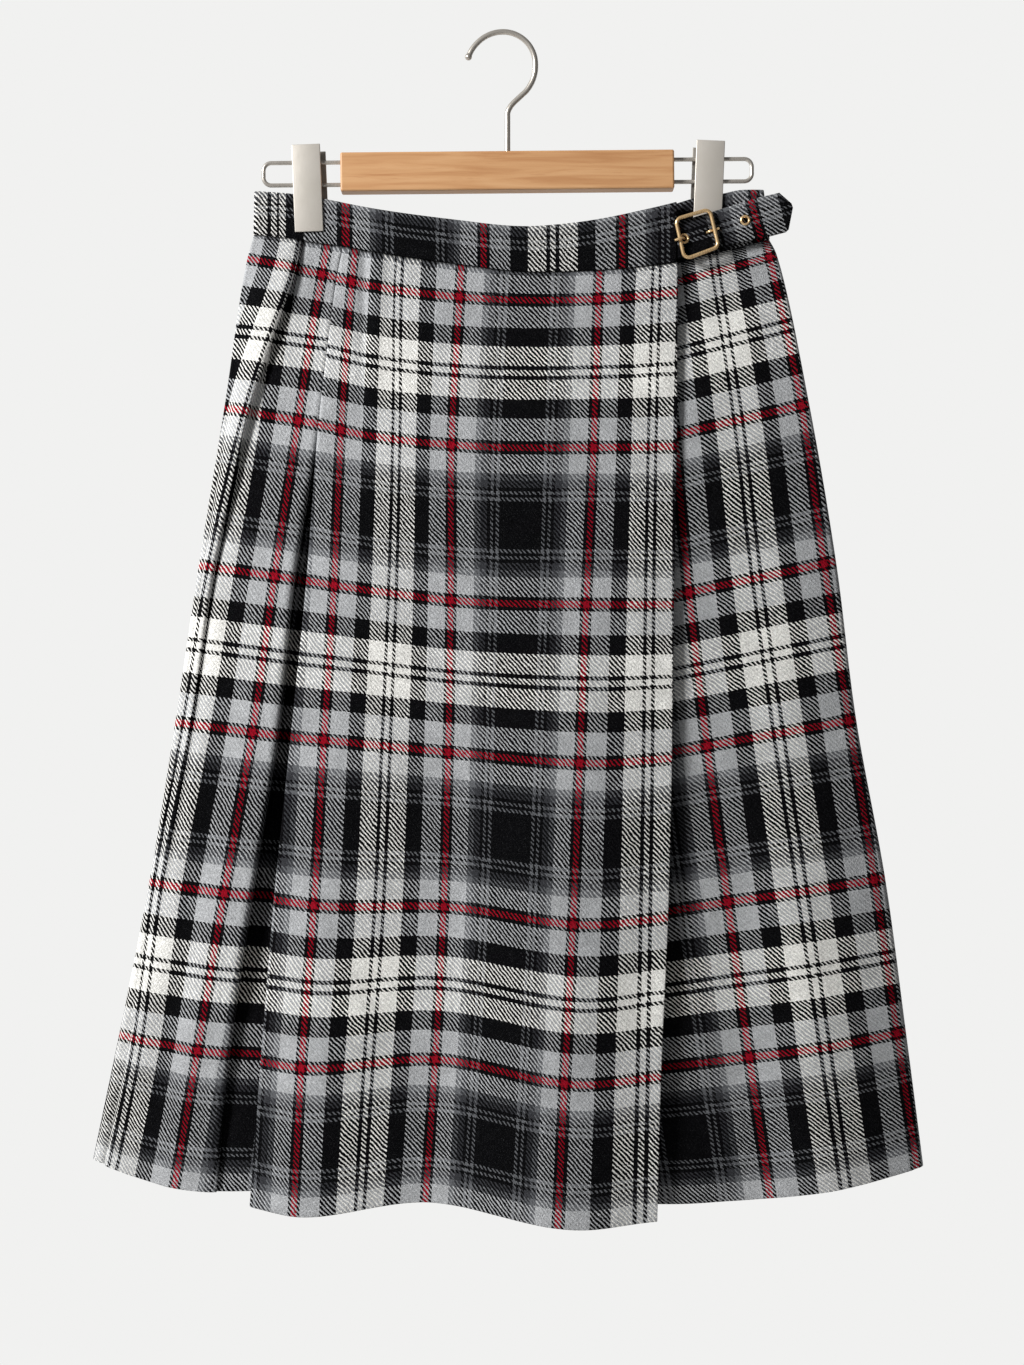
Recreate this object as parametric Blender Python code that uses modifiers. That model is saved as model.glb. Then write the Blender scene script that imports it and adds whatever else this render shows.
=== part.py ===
"""Checked wrap kilt skirt, hung by its waistband from a wooden clip hanger.

Metres, +Z up, the front faces -Y. The origin is the underside of the hook's crown.
Tables that say mm are in millimetres, and MM turns them into metres.
"""

import math
from collections import namedtuple

import bmesh
import bpy
import numpy as np
from mathutils import Matrix, Vector

MM = 0.001

# Cloth
CLOTH_WALL = 1.6 * MM
BAND_WALL = 2.4 * MM
CUT_LENGTH = 678 * MM
SEAM_GAP = 0.75 * MM
BUTT_GAP = 0.4 * MM
BACK_BAND_HEIGHT = 31.5 * MM
SETTLE_LENGTH = 150 * MM

# Hanger
HANGER_TILT = math.radians(0.5)
BAR_CENTRE = Vector((3.1, 0.0, -97.7)) * MM
BAR_SIZE = Vector((236.2, 15.0, 27.5)) * MM
BAR_EDGE = 1.2 * MM
SOCKET_DEPTH = 10 * MM
WIRE_RADIUS = 1.5 * MM
WIRE_PITCH = 15.9 * MM
WIRE_CORNER = 5.5 * MM
LOOP_REACH_LEFT = 55.0 * MM
LOOP_REACH_RIGHT = 55.5 * MM
SOCKET_CLEARANCE = 0.3 * MM

# Hook
HOOK_RADIUS = 2.0 * MM
HOOK_CENTRE_Z = -21.0 * MM
HOOK_STEM_X = 3.2 * MM
HOOK_NECK_Z = -54.3 * MM
HOOK_BALL = 2.5 * MM
HookBend = namedtuple("HookBend", "degrees reach")
HOOK_BENDS = (
    HookBend(-60, 25.8),
    HookBend(-30, 24.0),
    HookBend(0, 23.0),
    HookBend(100, 23.0),
    HookBend(140, 23.7),
    HookBend(176, 25.5),
)

# Clips
CLIP_WIDTH = 20.2 * MM
CLIP_HEIGHT = 62 * MM
CLIP_PLATE = 1.2 * MM
CLIP_INNER = 3.2 * MM
CLIP_FLANGE_HEIGHT = 30 * MM
REAR_HEIGHT = 58 * MM
REAR_WIDTH = 20.2 * MM
SPRING_RADIUS = 2.6 * MM
SPRING_LENGTH = 14 * MM
Clip = namedtuple("Clip", "side x top lean rear_shift")
CLIPS = (
    Clip("left", -139.9 * MM, -78.6 * MM, math.radians(-2.4), 3.4 * MM),
    Clip("right", 147.3 * MM, -75.8 * MM, math.radians(2.4), -2.0 * MM),
)

# Strap, buckle and eyelets. The strap's own line runs through STRAP_CENTRE: along it
# to the point, across it upwards, both in mm.
STRAP_CENTRE = Vector((170.8, -8.2, -134.6)) * MM
STRAP_RISE = math.radians(15.6)
StrapCorner = namedtuple("StrapCorner", "along across")
STRAP_CORNERS = (
    StrapCorner(-45.8, 12.7),
    StrapCorner(-52.6, -12.5),
    StrapCorner(-18.0, -12.4),
    StrapCorner(14.0, -14.6),
    StrapCorner(26.0, -14.8),
    StrapCorner(28.6, -13.4),
    StrapCorner(35.6, 0.6),
    StrapCorner(35.4, 3.7),
    StrapCorner(29.1, 13.3),
    StrapCorner(16.0, 13.9),
    StrapCorner(-15.0, 13.2),
)
Eyelet = namedtuple("Eyelet", "name along across")
EYELETS = (Eyelet("prong", -44.5, 0.1), Eyelet("spare", 0.6, 0.9))
EYELET_BARREL = 2.6 * MM
EYELET_BORE = 2.1 * MM
EYELET_FLANGE = 3.7 * MM
EYELET_LIP = 0.6 * MM
FrameCorner = namedtuple("FrameCorner", "along across")
FRAME_CORNERS = (
    FrameCorner(-46.9, 14.4),
    FrameCorner(-48.3, -14.6),
    FrameCorner(-22.8, -12.4),
    FrameCorner(-21.8, 14.9),
)
FRAME_WIRE = 1.2 * MM
FRAME_GAP = 1.2 * MM
FRAME_ROUND = 4.2 * MM
PRONG_WIRE = 0.9 * MM
PRONG_SLOT = Vector((10.5, 10.0, 3.4)) * MM
PRONG_SLOT_AT = -24.2 * MM
# The prong's path, in mm from the strap's middle plane; out is away from the skirt.
ProngBend = namedtuple("ProngBend", "along out")
PRONG_BENDS = (
    ProngBend(-19.7, 4.2),
    ProngBend(-20.0, 2.3),
    ProngBend(-21.4, 1.15),
    ProngBend(-23.2, 1.15),
    ProngBend(-24.7, 2.2),
    ProngBend(-26.1, 1.8),
    ProngBend(-27.4, 0.0),
    ProngBend(-28.4, -2.5),
    ProngBend(-43.0, -2.5),
    ProngBend(-43.7, -1.2),
    ProngBend(-44.5, 1.4),
    ProngBend(-44.9, 3.6),
    ProngBend(-45.6, 5.5),
    ProngBend(-47.6, 6.3),
    ProngBend(-51.5, 5.5),
)

# Outline of the hung skirt, a row for each section, in mm.
# drop: length of cloth below the waist seam; x and z of both side edges.
Side = namedtuple("Side", "drop left left_z right right_z")
SIDES = (
    Side(0, -176.0, -142.6, 188.2, -145.8),
    Side(22, -180.8, -159.7, 193.8, -157.2),
    Side(131, -197.1, -265.3, 216.6, -262.3),
    Side(240, -215.2, -377.4, 235.7, -374.4),
    Side(350, -231.9, -488.0, 249.9, -485.9),
    Side(461, -250.3, -601.5, 270.5, -598.8),
    Side(573, -271.6, -709.3, 285.1, -706.7),
    Side(678, -290.0, -797.6, 297.5, -802.6),
)

# Waistband, in mm: height of its two edges and depth of its middle.
# front runs to the apron's edge, under carries on to the right side.
Band = namedtuple("Band", "x lower upper front under back")
BAND = (
    Band(-176.0, -142.5, -111.4, -1.6, -1.6, 1.6),
    Band(-151.2, -145.5, -113.2, -1.6, -1.6, 1.6),
    Band(-126.4, -149.0, -117.0, -1.7, -1.6, 1.6),
    Band(-123.0, -149.4, -117.7, -1.8, -1.6, 1.6),
    Band(-117.6, -150.2, -118.8, -2.3, -1.7, 4.6),
    Band(-108.6, -151.7, -120.9, -3.2, -2.0, 5.2),
    Band(-84.4, -156.4, -125.6, -5.2, -2.4, 6.0),
    Band(-35.2, -163.8, -132.6, -7.4, -2.8, 6.8),
    Band(12.1, -169.5, -137.5, -8.2, -2.8, 7.0),
    Band(40.3, -169.7, -136.1, -8.2, -2.8, 6.8),
    Band(68.6, -168.6, -132.3, -8.2, -2.8, 5.6),
    Band(96.8, -166.2, -126.5, -8.2, -2.5, 3.6),
    Band(122.8, -162.8, -120.3, -8.2, -1.8, 1.9),
    Band(134.1, -158.9, -116.9, -8.2, -1.6, 1.6),
    Band(157.5, -153.7, -113.2, -8.2, -1.6, 1.6),
    Band(170.2, -150.4, -110.8, -8.2, -1.6, 1.6),
    Band(188.2, -145.8, -110.4, -8.2, -1.6, 1.6),
)
BAND_TOP_INSET_LEFT = 0.6 * MM
BAND_TOP_INSET_RIGHT = 4.2 * MM
BAND_TOP_INSET_FROM = 140 * MM

# Front apron, in mm: both edges, and the height of the row at five places across.
Apron = namedtuple("Apron", "drop left right z0 z12 z44 z80 z100")
APRON_PLACES = (0.0, 0.12, 0.44, 0.80, 1.0)
APRON = (
    Apron(0, -113.6, 123.6, -153.2, -158.4, -168.6, -169.1, -163.1),
    Apron(22, -117.8, 123.5, -173.8, -180.4, -189.2, -189.0, -184.5),
    Apron(131, -129.6, 122.5, -277.9, -285.1, -293.9, -294.5, -293.6),
    Apron(240, -137.8, 120.1, -388.6, -393.7, -403.6, -405.7, -405.6),
    Apron(350, -148.4, 118.4, -498.3, -501.0, -509.2, -516.2, -512.8),
    Apron(461, -159.7, 115.2, -612.4, -616.2, -616.9, -628.7, -624.2),
    Apron(573, -168.4, 110.0, -724.6, -728.0, -722.5, -737.8, -733.6),
    Apron(678, -175.7, 106.9, -825.3, -830.3, -821.4, -837.1, -833.2),
)
APRON_LIFT = 1.2 * MM
APRON_EDGE_LIFT = 2.4 * MM
APRON_FOLD_RADIUS = 1.4 * MM
APRON_RETURN_SLOPE = 0.12

# Left side panel, in mm. step: the pressed edge near the side, with its height
# towards the front; roll: the cloth's turn into the open pleat, with the pleat's depth.
LeftPanel = namedtuple("LeftPanel", "drop step step_height roll open seam_z sag")
LEFT_PANEL = (
    LeftPanel(0, -143.0, 1.6, -119.0, 0.0, -152.6, 0.0),
    LeftPanel(22, -146.3, 3.6, -123.0, 0.0, -173.2, 0.0),
    LeftPanel(131, -176.0, 4.6, -136.5, 0.6, -277.5, 0.0),
    LeftPanel(240, -205.0, 0.0, -147.5, 6.0, -388.5, 0.0),
    LeftPanel(350, -221.0, 0.0, -160.5, 9.0, -498.3, 0.0),
    LeftPanel(461, -241.0, 0.0, -178.5, 9.0, -611.3, 1.0),
    LeftPanel(573, -262.5, -2.2, -197.0, 7.0, -721.7, 2.0),
    LeftPanel(678, -281.5, -4.4, -206.0, 4.0, -816.3, 7.0),
)
LAYER_STEP = 2.05 * MM
UNDERLAY_REACH = 27 * MM

# Under apron, in mm: its height at the apron's edge, and how far it sags between.
UnderApron = namedtuple("UnderApron", "drop edge_z sag")
UNDER_APRON = (
    UnderApron(0, -162.2, 0.0),
    UnderApron(22, -175.8, 0.0),
    UnderApron(131, -284.5, 0.0),
    UnderApron(240, -399.1, 0.0),
    UnderApron(350, -508.8, 0.0),
    UnderApron(461, -620.6, 0.0),
    UnderApron(573, -728.9, 2.0),
    UnderApron(678, -823.3, 7.0),
)
UNDER_REACH = 105 * MM

# Soft folds, in mm: where along the panel at the waist and hem, the height
# towards the front at both, the half width, and the drop where the fold starts.
Fold = namedtuple("Fold", "waist_x hem_x waist_rise hem_rise half_width start")
APRON_FOLDS = (
    Fold(-101.0, -118.0, -1.5, 0.0, 9.0, 0),
    Fold(-96.0, -139.0, 0.0, 6.0, 34.0, 120),
    Fold(-40.0, -52.0, 0.0, -9.0, 48.0, 90),
    Fold(38.0, 46.0, 0.0, 6.5, 52.0, 60),
    Fold(118.0, 92.0, 0.0, -3.0, 22.0, 200),
)
UNDER_FOLDS = (
    Fold(150.0, 165.0, 0.0, -5.0, 40.0, 60),
    Fold(170.0, 232.0, 0.0, 6.0, 36.0, 120),
)
LEFT_FOLDS = (Fold(-150.0, -246.0, 0.0, 4.0, 30.0, 160),)
BACK_FOLDS = (
    Fold(-60.0, -150.0, 0.0, -5.0, 45.0, 150),
    Fold(30.0, 30.0, 0.0, -6.0, 55.0, 100),
    Fold(100.0, 205.0, 0.0, -4.0, 40.0, 180),
)

# How far front and back stand from the middle plane
SIDE_RADIUS_WAIST = 1.6 * MM
SIDE_RADIUS_HEM = 6.0 * MM
SIDE_WRAP = 10 * MM
FRONT_BULGE_WAIST = 7 * MM
FRONT_BULGE_HEM = 38 * MM
UNDER_BEHIND_WAIST = 3.4 * MM
UNDER_BEHIND_HEM = 7.5 * MM
BACK_BULGE_WAIST = 8.5 * MM
BACK_SETTLE_LENGTH = 42 * MM
BACK_BULGE_HEM = 26 * MM
BACK_SAG_WAIST = 23 * MM
BACK_SAG_HEM = 30 * MM

# Knife pleats of the back
BACK_PLEATS = 6
PLEAT_SEWN = 107 * MM
PLEAT_HEIGHT_SEWN = 1.4 * MM
PLEAT_HEIGHT_HEM = 7.0 * MM

# The grids that the walls run through
CLOTH_ROWS = (0, 12, 30, 55, 80, 106, 131, 160, 190, 215, 240, 275, 312, 350, 387, 424)
CLOTH_ROWS += (461, 498, 535, 573, 600, 628, 655, 678)
APRON_COLUMNS = (0.03, 0.055, 0.08, 0.12, 0.17, 0.22, 0.28, 0.34, 0.40, 0.46)
APRON_COLUMNS += (0.52, 0.58, 0.64, 0.70, 0.76, 0.82, 0.88, 0.94, 1.0)
FOLD_COLUMNS = (2.6, 7.0, 11.0, 16.5, 22.0)
UNDER_COLUMNS = 15
UNDER_SLOPE = 0.1
BAND_STEPS = 3
BAND_COLUMN = 14 * MM
BAND_FRONT_END = 122.8 * MM
PLEAT_TURN = 2.2 * MM
SEAM_LAND = 5 * MM
ROLL_WIDTH = 4.6 * MM
ROLL_TURN = ((0.0, 0.08), (0.28, 0.3), (0.52, 0.7), (1.0, 1.0))
HOOK_STEP = 12

Finish = namedtuple("Finish", "colour roughness metallic")
FINISHES = {
    "checked_wool": Finish((0.30, 0.30, 0.32), 0.95, 0.0),
    "band_wool": Finish((0.10, 0.10, 0.11), 0.95, 0.0),
    "beech": Finish((0.60, 0.36, 0.19), 0.45, 0.0),
    "satin_steel": Finish((0.50, 0.48, 0.45), 0.35, 1.0),
    "brass": Finish((0.62, 0.44, 0.22), 0.30, 1.0),
}


def clear_scene():
    for obj in list(bpy.data.objects):
        bpy.data.objects.remove(obj, do_unlink=True)


def new_collection(name):
    made = bpy.data.collections.new(name)
    bpy.context.scene.collection.children.link(made)
    return made


def finish_of(name, node):
    """A material of the node's own, in one of the five finishes."""
    look = FINISHES[name]
    material = bpy.data.materials.new(f"{node}_{name}")
    material.use_nodes = True
    shader = material.node_tree.nodes["Principled BSDF"]
    shader.inputs["Base Color"].default_value = (*look.colour, 1.0)
    shader.inputs["Roughness"].default_value = look.roughness
    shader.inputs["Metallic"].default_value = look.metallic
    return material


def add_object(name, data, finish, collection):
    obj = bpy.data.objects.new(name, data)
    collection.objects.link(obj)
    data.materials.append(finish_of(finish, name))
    return obj


def smooth_step(value):
    value = min(max(value, 0.0), 1.0)
    return value * value * (3.0 - 2.0 * value)


def curve_through(xs, ys, x):
    """Value at x of a smooth curve through the points, with no overshoot."""
    xs = np.asarray(xs, float)
    ys = np.asarray(ys, float)
    x = min(max(x, xs[0]), xs[-1])
    steps = np.diff(xs)
    slopes = np.diff(ys) / steps
    tangents = np.concatenate([slopes[:1], (slopes[1:] + slopes[:-1]) / 2, slopes[-1:]])
    i = min(int(np.searchsorted(xs, x, side="right")) - 1, len(steps) - 1)
    flat = slopes[i] == 0.0
    start = 0.0 if flat else tangents[i]
    end = 0.0 if flat else tangents[i + 1]
    u = (x - xs[i]) / steps[i]
    return float(
        (2 * u**3 - 3 * u**2 + 1) * ys[i]
        + (u**3 - 2 * u**2 + u) * steps[i] * start
        + (3 * u**2 - 2 * u**3) * ys[i + 1]
        + (u**3 - u**2) * steps[i] * end
    )


def column(table, name, drop):
    """Metres in the named column of a table, at a length of cloth below the seam."""
    drops = [row.drop for row in table]
    return MM * curve_through(drops, [getattr(row, name) for row in table], drop / MM)


def band_at(name, x):
    return MM * curve_through([row.x for row in BAND], [getattr(row, name) for row in BAND], x / MM)


def share(drop):
    """0 at the waist seam and 1 at the hem."""
    return drop / CUT_LENGTH


def blend(waist, hem, drop):
    return waist + (hem - waist) * share(drop)


def side_radius(drop):
    return blend(SIDE_RADIUS_WAIST, SIDE_RADIUS_HEM, drop)


def lens(x, drop):
    """1 in the middle of the skirt and 0 at both side edges."""
    left = column(SIDES, "left", drop)
    right = column(SIDES, "right", drop)
    across = (2 * x - left - right) / (right - left)
    return max(0.0, 1.0 - across * across)


def folds_at(folds, x, drop):
    """Height towards the front of the soft folds at one point of a panel."""
    height = 0.0
    for fold in folds:
        place = MM * (fold.waist_x + (fold.hem_x - fold.waist_x) * share(drop))
        rise = MM * (fold.waist_rise * (1 - smooth_step(share(drop) * 4)))
        begun = smooth_step((drop / MM - fold.start) / (CUT_LENGTH / MM - fold.start))
        rise += MM * fold.hem_rise * begun
        away = (x - place) / (MM * fold.half_width)
        height += rise * math.exp(-away * away)
    return height


def front_depth(x, drop):
    """Y of the front's main surface: the band's own line at the seam, then the bulge."""
    hung = -side_radius(drop) - blend(FRONT_BULGE_WAIST, FRONT_BULGE_HEM, drop) * lens(x, drop)
    settled = smooth_step(drop / SETTLE_LENGTH)
    return band_at("front", min(x, BAND_FRONT_END)) * (1 - settled) + hung * settled


def under_depth(x, drop):
    """Y of the layer under the apron."""
    behind = blend(UNDER_BEHIND_WAIST, UNDER_BEHIND_HEM, drop)
    bulge = blend(FRONT_BULGE_WAIST, FRONT_BULGE_HEM, drop) - behind
    hung = -side_radius(drop) - bulge * lens(x, drop) - folds_at(UNDER_FOLDS, x, drop)
    settled = smooth_step(drop / SETTLE_LENGTH)
    return band_at("under", x) * (1 - settled) + hung * settled


def back_depth(x, drop):
    """Y of the back's main surface."""
    bulge = blend(BACK_BULGE_WAIST, BACK_BULGE_HEM, drop) - folds_at(BACK_FOLDS, x, drop)
    hung = side_radius(drop) + bulge * lens(x, drop)
    settled = smooth_step(drop / BACK_SETTLE_LENGTH)
    return band_at("back", x) * (1 - settled) + hung * settled


def wall(name, rows, thickness, finish, collection):
    """A closed wall of cloth through rows of points, half its thickness to each side."""
    mesh = bpy.data.meshes.new(name)
    shape = bmesh.new()
    grid = [[shape.verts.new(point) for point in row] for row in rows]
    for upper, lower in zip(grid, grid[1:]):
        for i in range(len(upper) - 1):
            shape.faces.new((upper[i], lower[i], lower[i + 1], upper[i + 1]))
    bmesh.ops.recalc_face_normals(shape, faces=shape.faces)
    shape.to_mesh(mesh)
    shape.free()
    mesh.shade_smooth()
    obj = add_object(name, mesh, finish, collection)
    solid = obj.modifiers.new("Wall", "SOLIDIFY")
    solid.thickness = thickness
    solid.offset = 0.0
    solid.use_even_offset = True
    solid.use_quality_normals = True
    return obj


def side_turn(edge_x, radius, inward, wrap):
    """(x, y) points from the back seam, round a side edge, to the front."""
    centre = edge_x + inward * radius
    points = [(centre + inward * wrap, radius), (centre + inward * wrap / 2, radius)]
    for degrees in (90, 45, 0, -45, -90):
        turn = math.radians(degrees)
        points.append((centre - inward * radius * math.cos(turn), radius * math.sin(turn)))
    return points


def cloth_drops():
    return [row * MM for row in CLOTH_ROWS]


def at_height(table_height, x, drop):
    """Height of a panel's row: the first one hangs just clear of the band."""
    return band_at("lower", x) - SEAM_GAP if drop == 0.0 else table_height


def apron_height(x, drop):
    left = column(APRON, "left", drop)
    right = column(APRON, "right", drop)
    heights = [column(APRON, name, drop) for name in Apron._fields[3:]]
    across = (x - left) / (right - left)
    return at_height(curve_through(APRON_PLACES, heights, across), x, drop)


def apron_depth(x, drop):
    left = column(APRON, "left", drop)
    right = column(APRON, "right", drop)
    across = min(max((x - left) / (right - left), 0.0), 1.0)
    lift = APRON_LIFT * smooth_step(drop / SETTLE_LENGTH) + APRON_EDGE_LIFT * across * share(drop)
    return front_depth(x, drop) - lift - folds_at(APRON_FOLDS, x, drop)


def behind_apron(x, drop, layers):
    """Y of the layers that lie behind the apron's left fold: 1 its return, 2 the panel."""
    left = column(APRON, "left", drop)
    away = max(x - left, 0.0)
    step = 2 * APRON_FOLD_RADIUS + LAYER_STEP * (layers - 1)
    return apron_depth(max(x, left), drop) + step + away * APRON_RETURN_SLOPE * share(drop)


def build_apron(collection):
    """Front apron: its left edge folds under and returns behind itself."""
    rows = []
    for drop in cloth_drops():
        left = column(APRON, "left", drop)
        right = column(APRON, "right", drop)
        profile = []
        for reach in FOLD_COLUMNS[::-1]:
            x = left + reach * MM
            profile.append((x, behind_apron(x, drop, 1)))
        middle = apron_depth(left, drop) + APRON_FOLD_RADIUS
        for degrees in (90, 45, 0, -45, -90):
            turn = math.radians(degrees)
            x = left + APRON_FOLD_RADIUS * (1 - math.cos(turn))
            profile.append((x, middle + APRON_FOLD_RADIUS * math.sin(turn)))
        for place in APRON_COLUMNS:
            x = left + (right - left) * place
            profile.append((x, apron_depth(x, drop)))
        rows.append([Vector((x, y, apron_height(x, drop))) for x, y in profile])
    return wall("front_apron", rows, CLOTH_WALL, "checked_wool", collection)


def left_height(x, drop):
    left = column(SIDES, "left", drop)
    right = column(APRON, "left", drop)
    x = max(x, left)
    across = (x - left) / (right - left)
    start = column(SIDES, "left_z", drop)
    end = column(LEFT_PANEL, "seam_z", drop)
    sag = column(LEFT_PANEL, "sag", drop) * math.sin(math.pi * min(across, 1.0))
    return at_height(start + (end - start) * across - sag, x, drop)


def left_depth(x, drop):
    """Y of the left panel before its pressed edge and its turn into the pleat."""
    return front_depth(x, drop) - folds_at(LEFT_FOLDS, x, drop)


def build_left_panel(collection):
    """Side panel, from the back seam round the left edge and in under the apron."""
    rows = []
    for drop in cloth_drops():
        edge = column(SIDES, "left", drop)
        radius = side_radius(drop)
        step = column(LEFT_PANEL, "step", drop)
        rise = column(LEFT_PANEL, "step_height", drop)
        roll = column(LEFT_PANEL, "roll", drop)
        seam = column(APRON, "left", drop)
        front = edge + radius
        profile = side_turn(edge, radius, 1, SIDE_WRAP)
        ahead = left_depth(front, drop) + radius
        raised, lowered = max(rise, 0.0), max(-rise, 0.0)
        for across in (0.3, 0.6, 0.9):
            x = front + (step - front) * across
            level = left_depth(x, drop) - ahead * (1 - across)
            profile.append((x, level - raised * smooth_step(across * 2) + lowered * across))
        base = left_depth(step, drop)
        profile.append((step + PLEAT_TURN / 4, base - raised * 0.6 + lowered * 0.4))
        profile.append((step + PLEAT_TURN, base))
        for across in (0.15, 0.4, 0.65, 0.88):
            x = step + PLEAT_TURN + (roll - step - PLEAT_TURN) * across
            profile.append((x, left_depth(x, drop)))
        floor = behind_apron(seam, drop, 2) + column(LEFT_PANEL, "open", drop)
        top = left_depth(roll, drop)
        for across, down in ROLL_TURN:
            profile.append((roll + ROLL_WIDTH * across, top + (floor - top) * down))
        inside = roll + ROLL_WIDTH
        for across in (0.5, 0.95):
            x = inside + (seam - inside) * across
            profile.append((x, floor))
        for reach in (*FOLD_COLUMNS, UNDERLAY_REACH / MM):
            x = seam + reach * MM
            profile.append((x, behind_apron(x, drop, 2) + column(LEFT_PANEL, "open", drop)))
        rows.append([Vector((x, y, left_height(x, drop))) for x, y in profile])
    return wall("left_panel", rows, CLOTH_WALL, "checked_wool", collection)


def under_height(x, drop):
    left = column(APRON, "right", drop)
    right = column(SIDES, "right", drop)
    x = min(x, right)
    across = (x - left) / (right - left)
    start = column(UNDER_APRON, "edge_z", drop)
    end = column(SIDES, "right_z", drop)
    if across < 0.0:
        return at_height(start - UNDER_SLOPE * (left - x), x, drop)
    sag = column(UNDER_APRON, "sag", drop) * 4 * across * (1 - across)
    return at_height(start + (end - start) * across - sag, x, drop)


def build_under_apron(collection):
    """Under apron, from its hidden edge to the right and round to the back seam."""
    rows = []
    for drop in cloth_drops():
        edge = column(SIDES, "right", drop)
        start = column(APRON, "right", drop) - UNDER_REACH
        turn = side_turn(edge, side_radius(drop), -1, SIDE_WRAP)[::-1]
        profile = []
        for step in range(UNDER_COLUMNS):
            x = start + (turn[0][0] - start) * step / UNDER_COLUMNS
            profile.append((x, under_depth(x, drop)))
        profile += turn
        rows.append([Vector((x, y, under_height(x, drop))) for x, y in profile])
    return wall("under_apron", rows, CLOTH_WALL, "checked_wool", collection)


def back_ends(drop):
    """X of both edges of the back, just clear of the side panels' ends."""
    inset = side_radius(drop) + SIDE_WRAP + BUTT_GAP
    return column(SIDES, "left", drop) + inset, column(SIDES, "right", drop) - inset


def back_height(x, drop):
    start, end = back_ends(drop)
    across = (x - start) / (end - start)
    level = left_height(start - BUTT_GAP, drop) * (1 - across) + under_height(end + BUTT_GAP, drop) * across
    bow = max(0.0, 1 - (2 * across - 1) ** 2)
    return level - blend(BACK_SAG_WAIST, BACK_SAG_HEM, drop) * bow


def pleat_profile(start, end, drop):
    """(x, y) of a saw-toothed back: each pleat rises slowly and drops at its edge."""
    opened = smooth_step((drop - PLEAT_SEWN) / (CUT_LENGTH - PLEAT_SEWN))
    height = PLEAT_HEIGHT_SEWN + (PLEAT_HEIGHT_HEM - PLEAT_HEIGHT_SEWN) * opened
    pitch = (end - start - 2 * SEAM_LAND) / BACK_PLEATS
    level = side_radius(drop)
    points = [(start, level)]
    for pleat in range(BACK_PLEATS):
        left = start + SEAM_LAND + pitch * pleat
        for across in (0.0, 0.22, 0.48, 0.74, 1.0):
            x = left + (pitch - PLEAT_TURN) * across
            points.append((x, back_depth(x, drop) + height * (across - 0.5)))
    points[1] = (points[1][0], level)
    points.append((end - SEAM_LAND, level))
    points.append((end, level))
    return points


def build_back_panel(collection):
    """Back panel between the side seams, with knife pleats that open to the hem."""
    rows = []
    for drop in cloth_drops():
        profile = pleat_profile(*back_ends(drop), drop)
        rows.append([Vector((x, y, back_height(x, drop))) for x, y in profile])
    return wall("back_panel", rows, CLOTH_WALL, "checked_wool", collection)


def band_wall(name, profile, lower, height, collection):
    """A stretch of band from its (x, y) line, its lower edge and its height."""
    left = SIDES[0].left * MM
    right = SIDES[0].right * MM
    rows = []
    for step in range(BAND_STEPS, -1, -1):
        up = step / BAND_STEPS
        row = []
        for x, y in profile:
            inset = BAND_TOP_INSET_LEFT * smooth_step(1 - (x - left) / (20 * MM))
            near = (x - BAND_TOP_INSET_FROM) / (right - BAND_TOP_INSET_FROM)
            inset -= BAND_TOP_INSET_RIGHT * smooth_step(near)
            row.append(Vector((x + inset * up, y, lower(x) + height(x) * up)))
        rows.append(row)
    return wall(name, rows, BAND_WALL, "band_wool", collection)


def front_band_lower(x):
    return band_at("lower", x)


def front_band_height(x):
    return band_at("upper", x) - band_at("lower", x)


def back_band_lower(x):
    return back_height(x, 0.0) + SEAM_GAP


def band_line(name, start, end):
    """(x, y) of a stretch of band: at both ends, at the table's rows and between them."""
    rows = [row.x * MM for row in BAND if start + 2 * MM < row.x * MM < end - 2 * MM]
    xs = [start]
    for x in (*rows, end):
        parts = max(1, round((x - xs[-1]) / BAND_COLUMN))
        first = xs[-1]
        xs += [first + (x - first) * part / parts for part in range(1, parts + 1)]
    return [(x, band_at(name, x)) for x in xs]


def build_waistband(collection):
    """Three stretches of the band: the front with the left fold, the under and the back."""
    left = SIDES[0].left * MM
    right = SIDES[0].right * MM
    radius = SIDE_RADIUS_WAIST
    turn = side_turn(left, radius, 1, SIDE_WRAP)
    front = turn[:-1] + band_line("front", turn[-1][0], BAND_FRONT_END)
    band_wall("waistband_front", front, front_band_lower, front_band_height, collection)
    turn = side_turn(right, radius, -1, SIDE_WRAP)[::-1]
    under = band_line("under", BAND_FRONT_END - UNDER_REACH, turn[0][0]) + turn[1:]
    band_wall("waistband_under", under, front_band_lower, front_band_height, collection)
    back = band_line("back", *back_ends(0.0))
    band_wall(
        "waistband_back", back, back_band_lower, lambda x: BACK_BAND_HEIGHT, collection
    )


def boolean(obj, other, operation):
    change = obj.modifiers.new(operation.title(), "BOOLEAN")
    change.operation = operation
    change.object = other
    other.hide_render = True
    other.display_type = "WIRE"


def box(name, centre, size, collection, turn=0.0):
    mesh = bpy.data.meshes.new(name)
    shape = bmesh.new()
    bmesh.ops.create_cube(shape, size=1.0)
    bmesh.ops.scale(shape, vec=size, verts=shape.verts)
    shape.to_mesh(mesh)
    shape.free()
    obj = bpy.data.objects.new(name, mesh)
    obj.location = centre
    obj.rotation_euler.y = turn
    collection.objects.link(obj)
    return obj


def cylinder(name, centre, radius, depth, axis, collection, sides=16):
    mesh = bpy.data.meshes.new(name)
    shape = bmesh.new()
    bmesh.ops.create_cone(
        shape, cap_ends=True, segments=sides, radius1=radius, radius2=radius, depth=depth
    )
    shape.to_mesh(mesh)
    shape.free()
    obj = bpy.data.objects.new(name, mesh)
    obj.location = centre
    obj.rotation_mode = "QUATERNION"
    obj.rotation_quaternion = Vector((0, 0, 1)).rotation_difference(axis)
    collection.objects.link(obj)
    return obj


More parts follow.
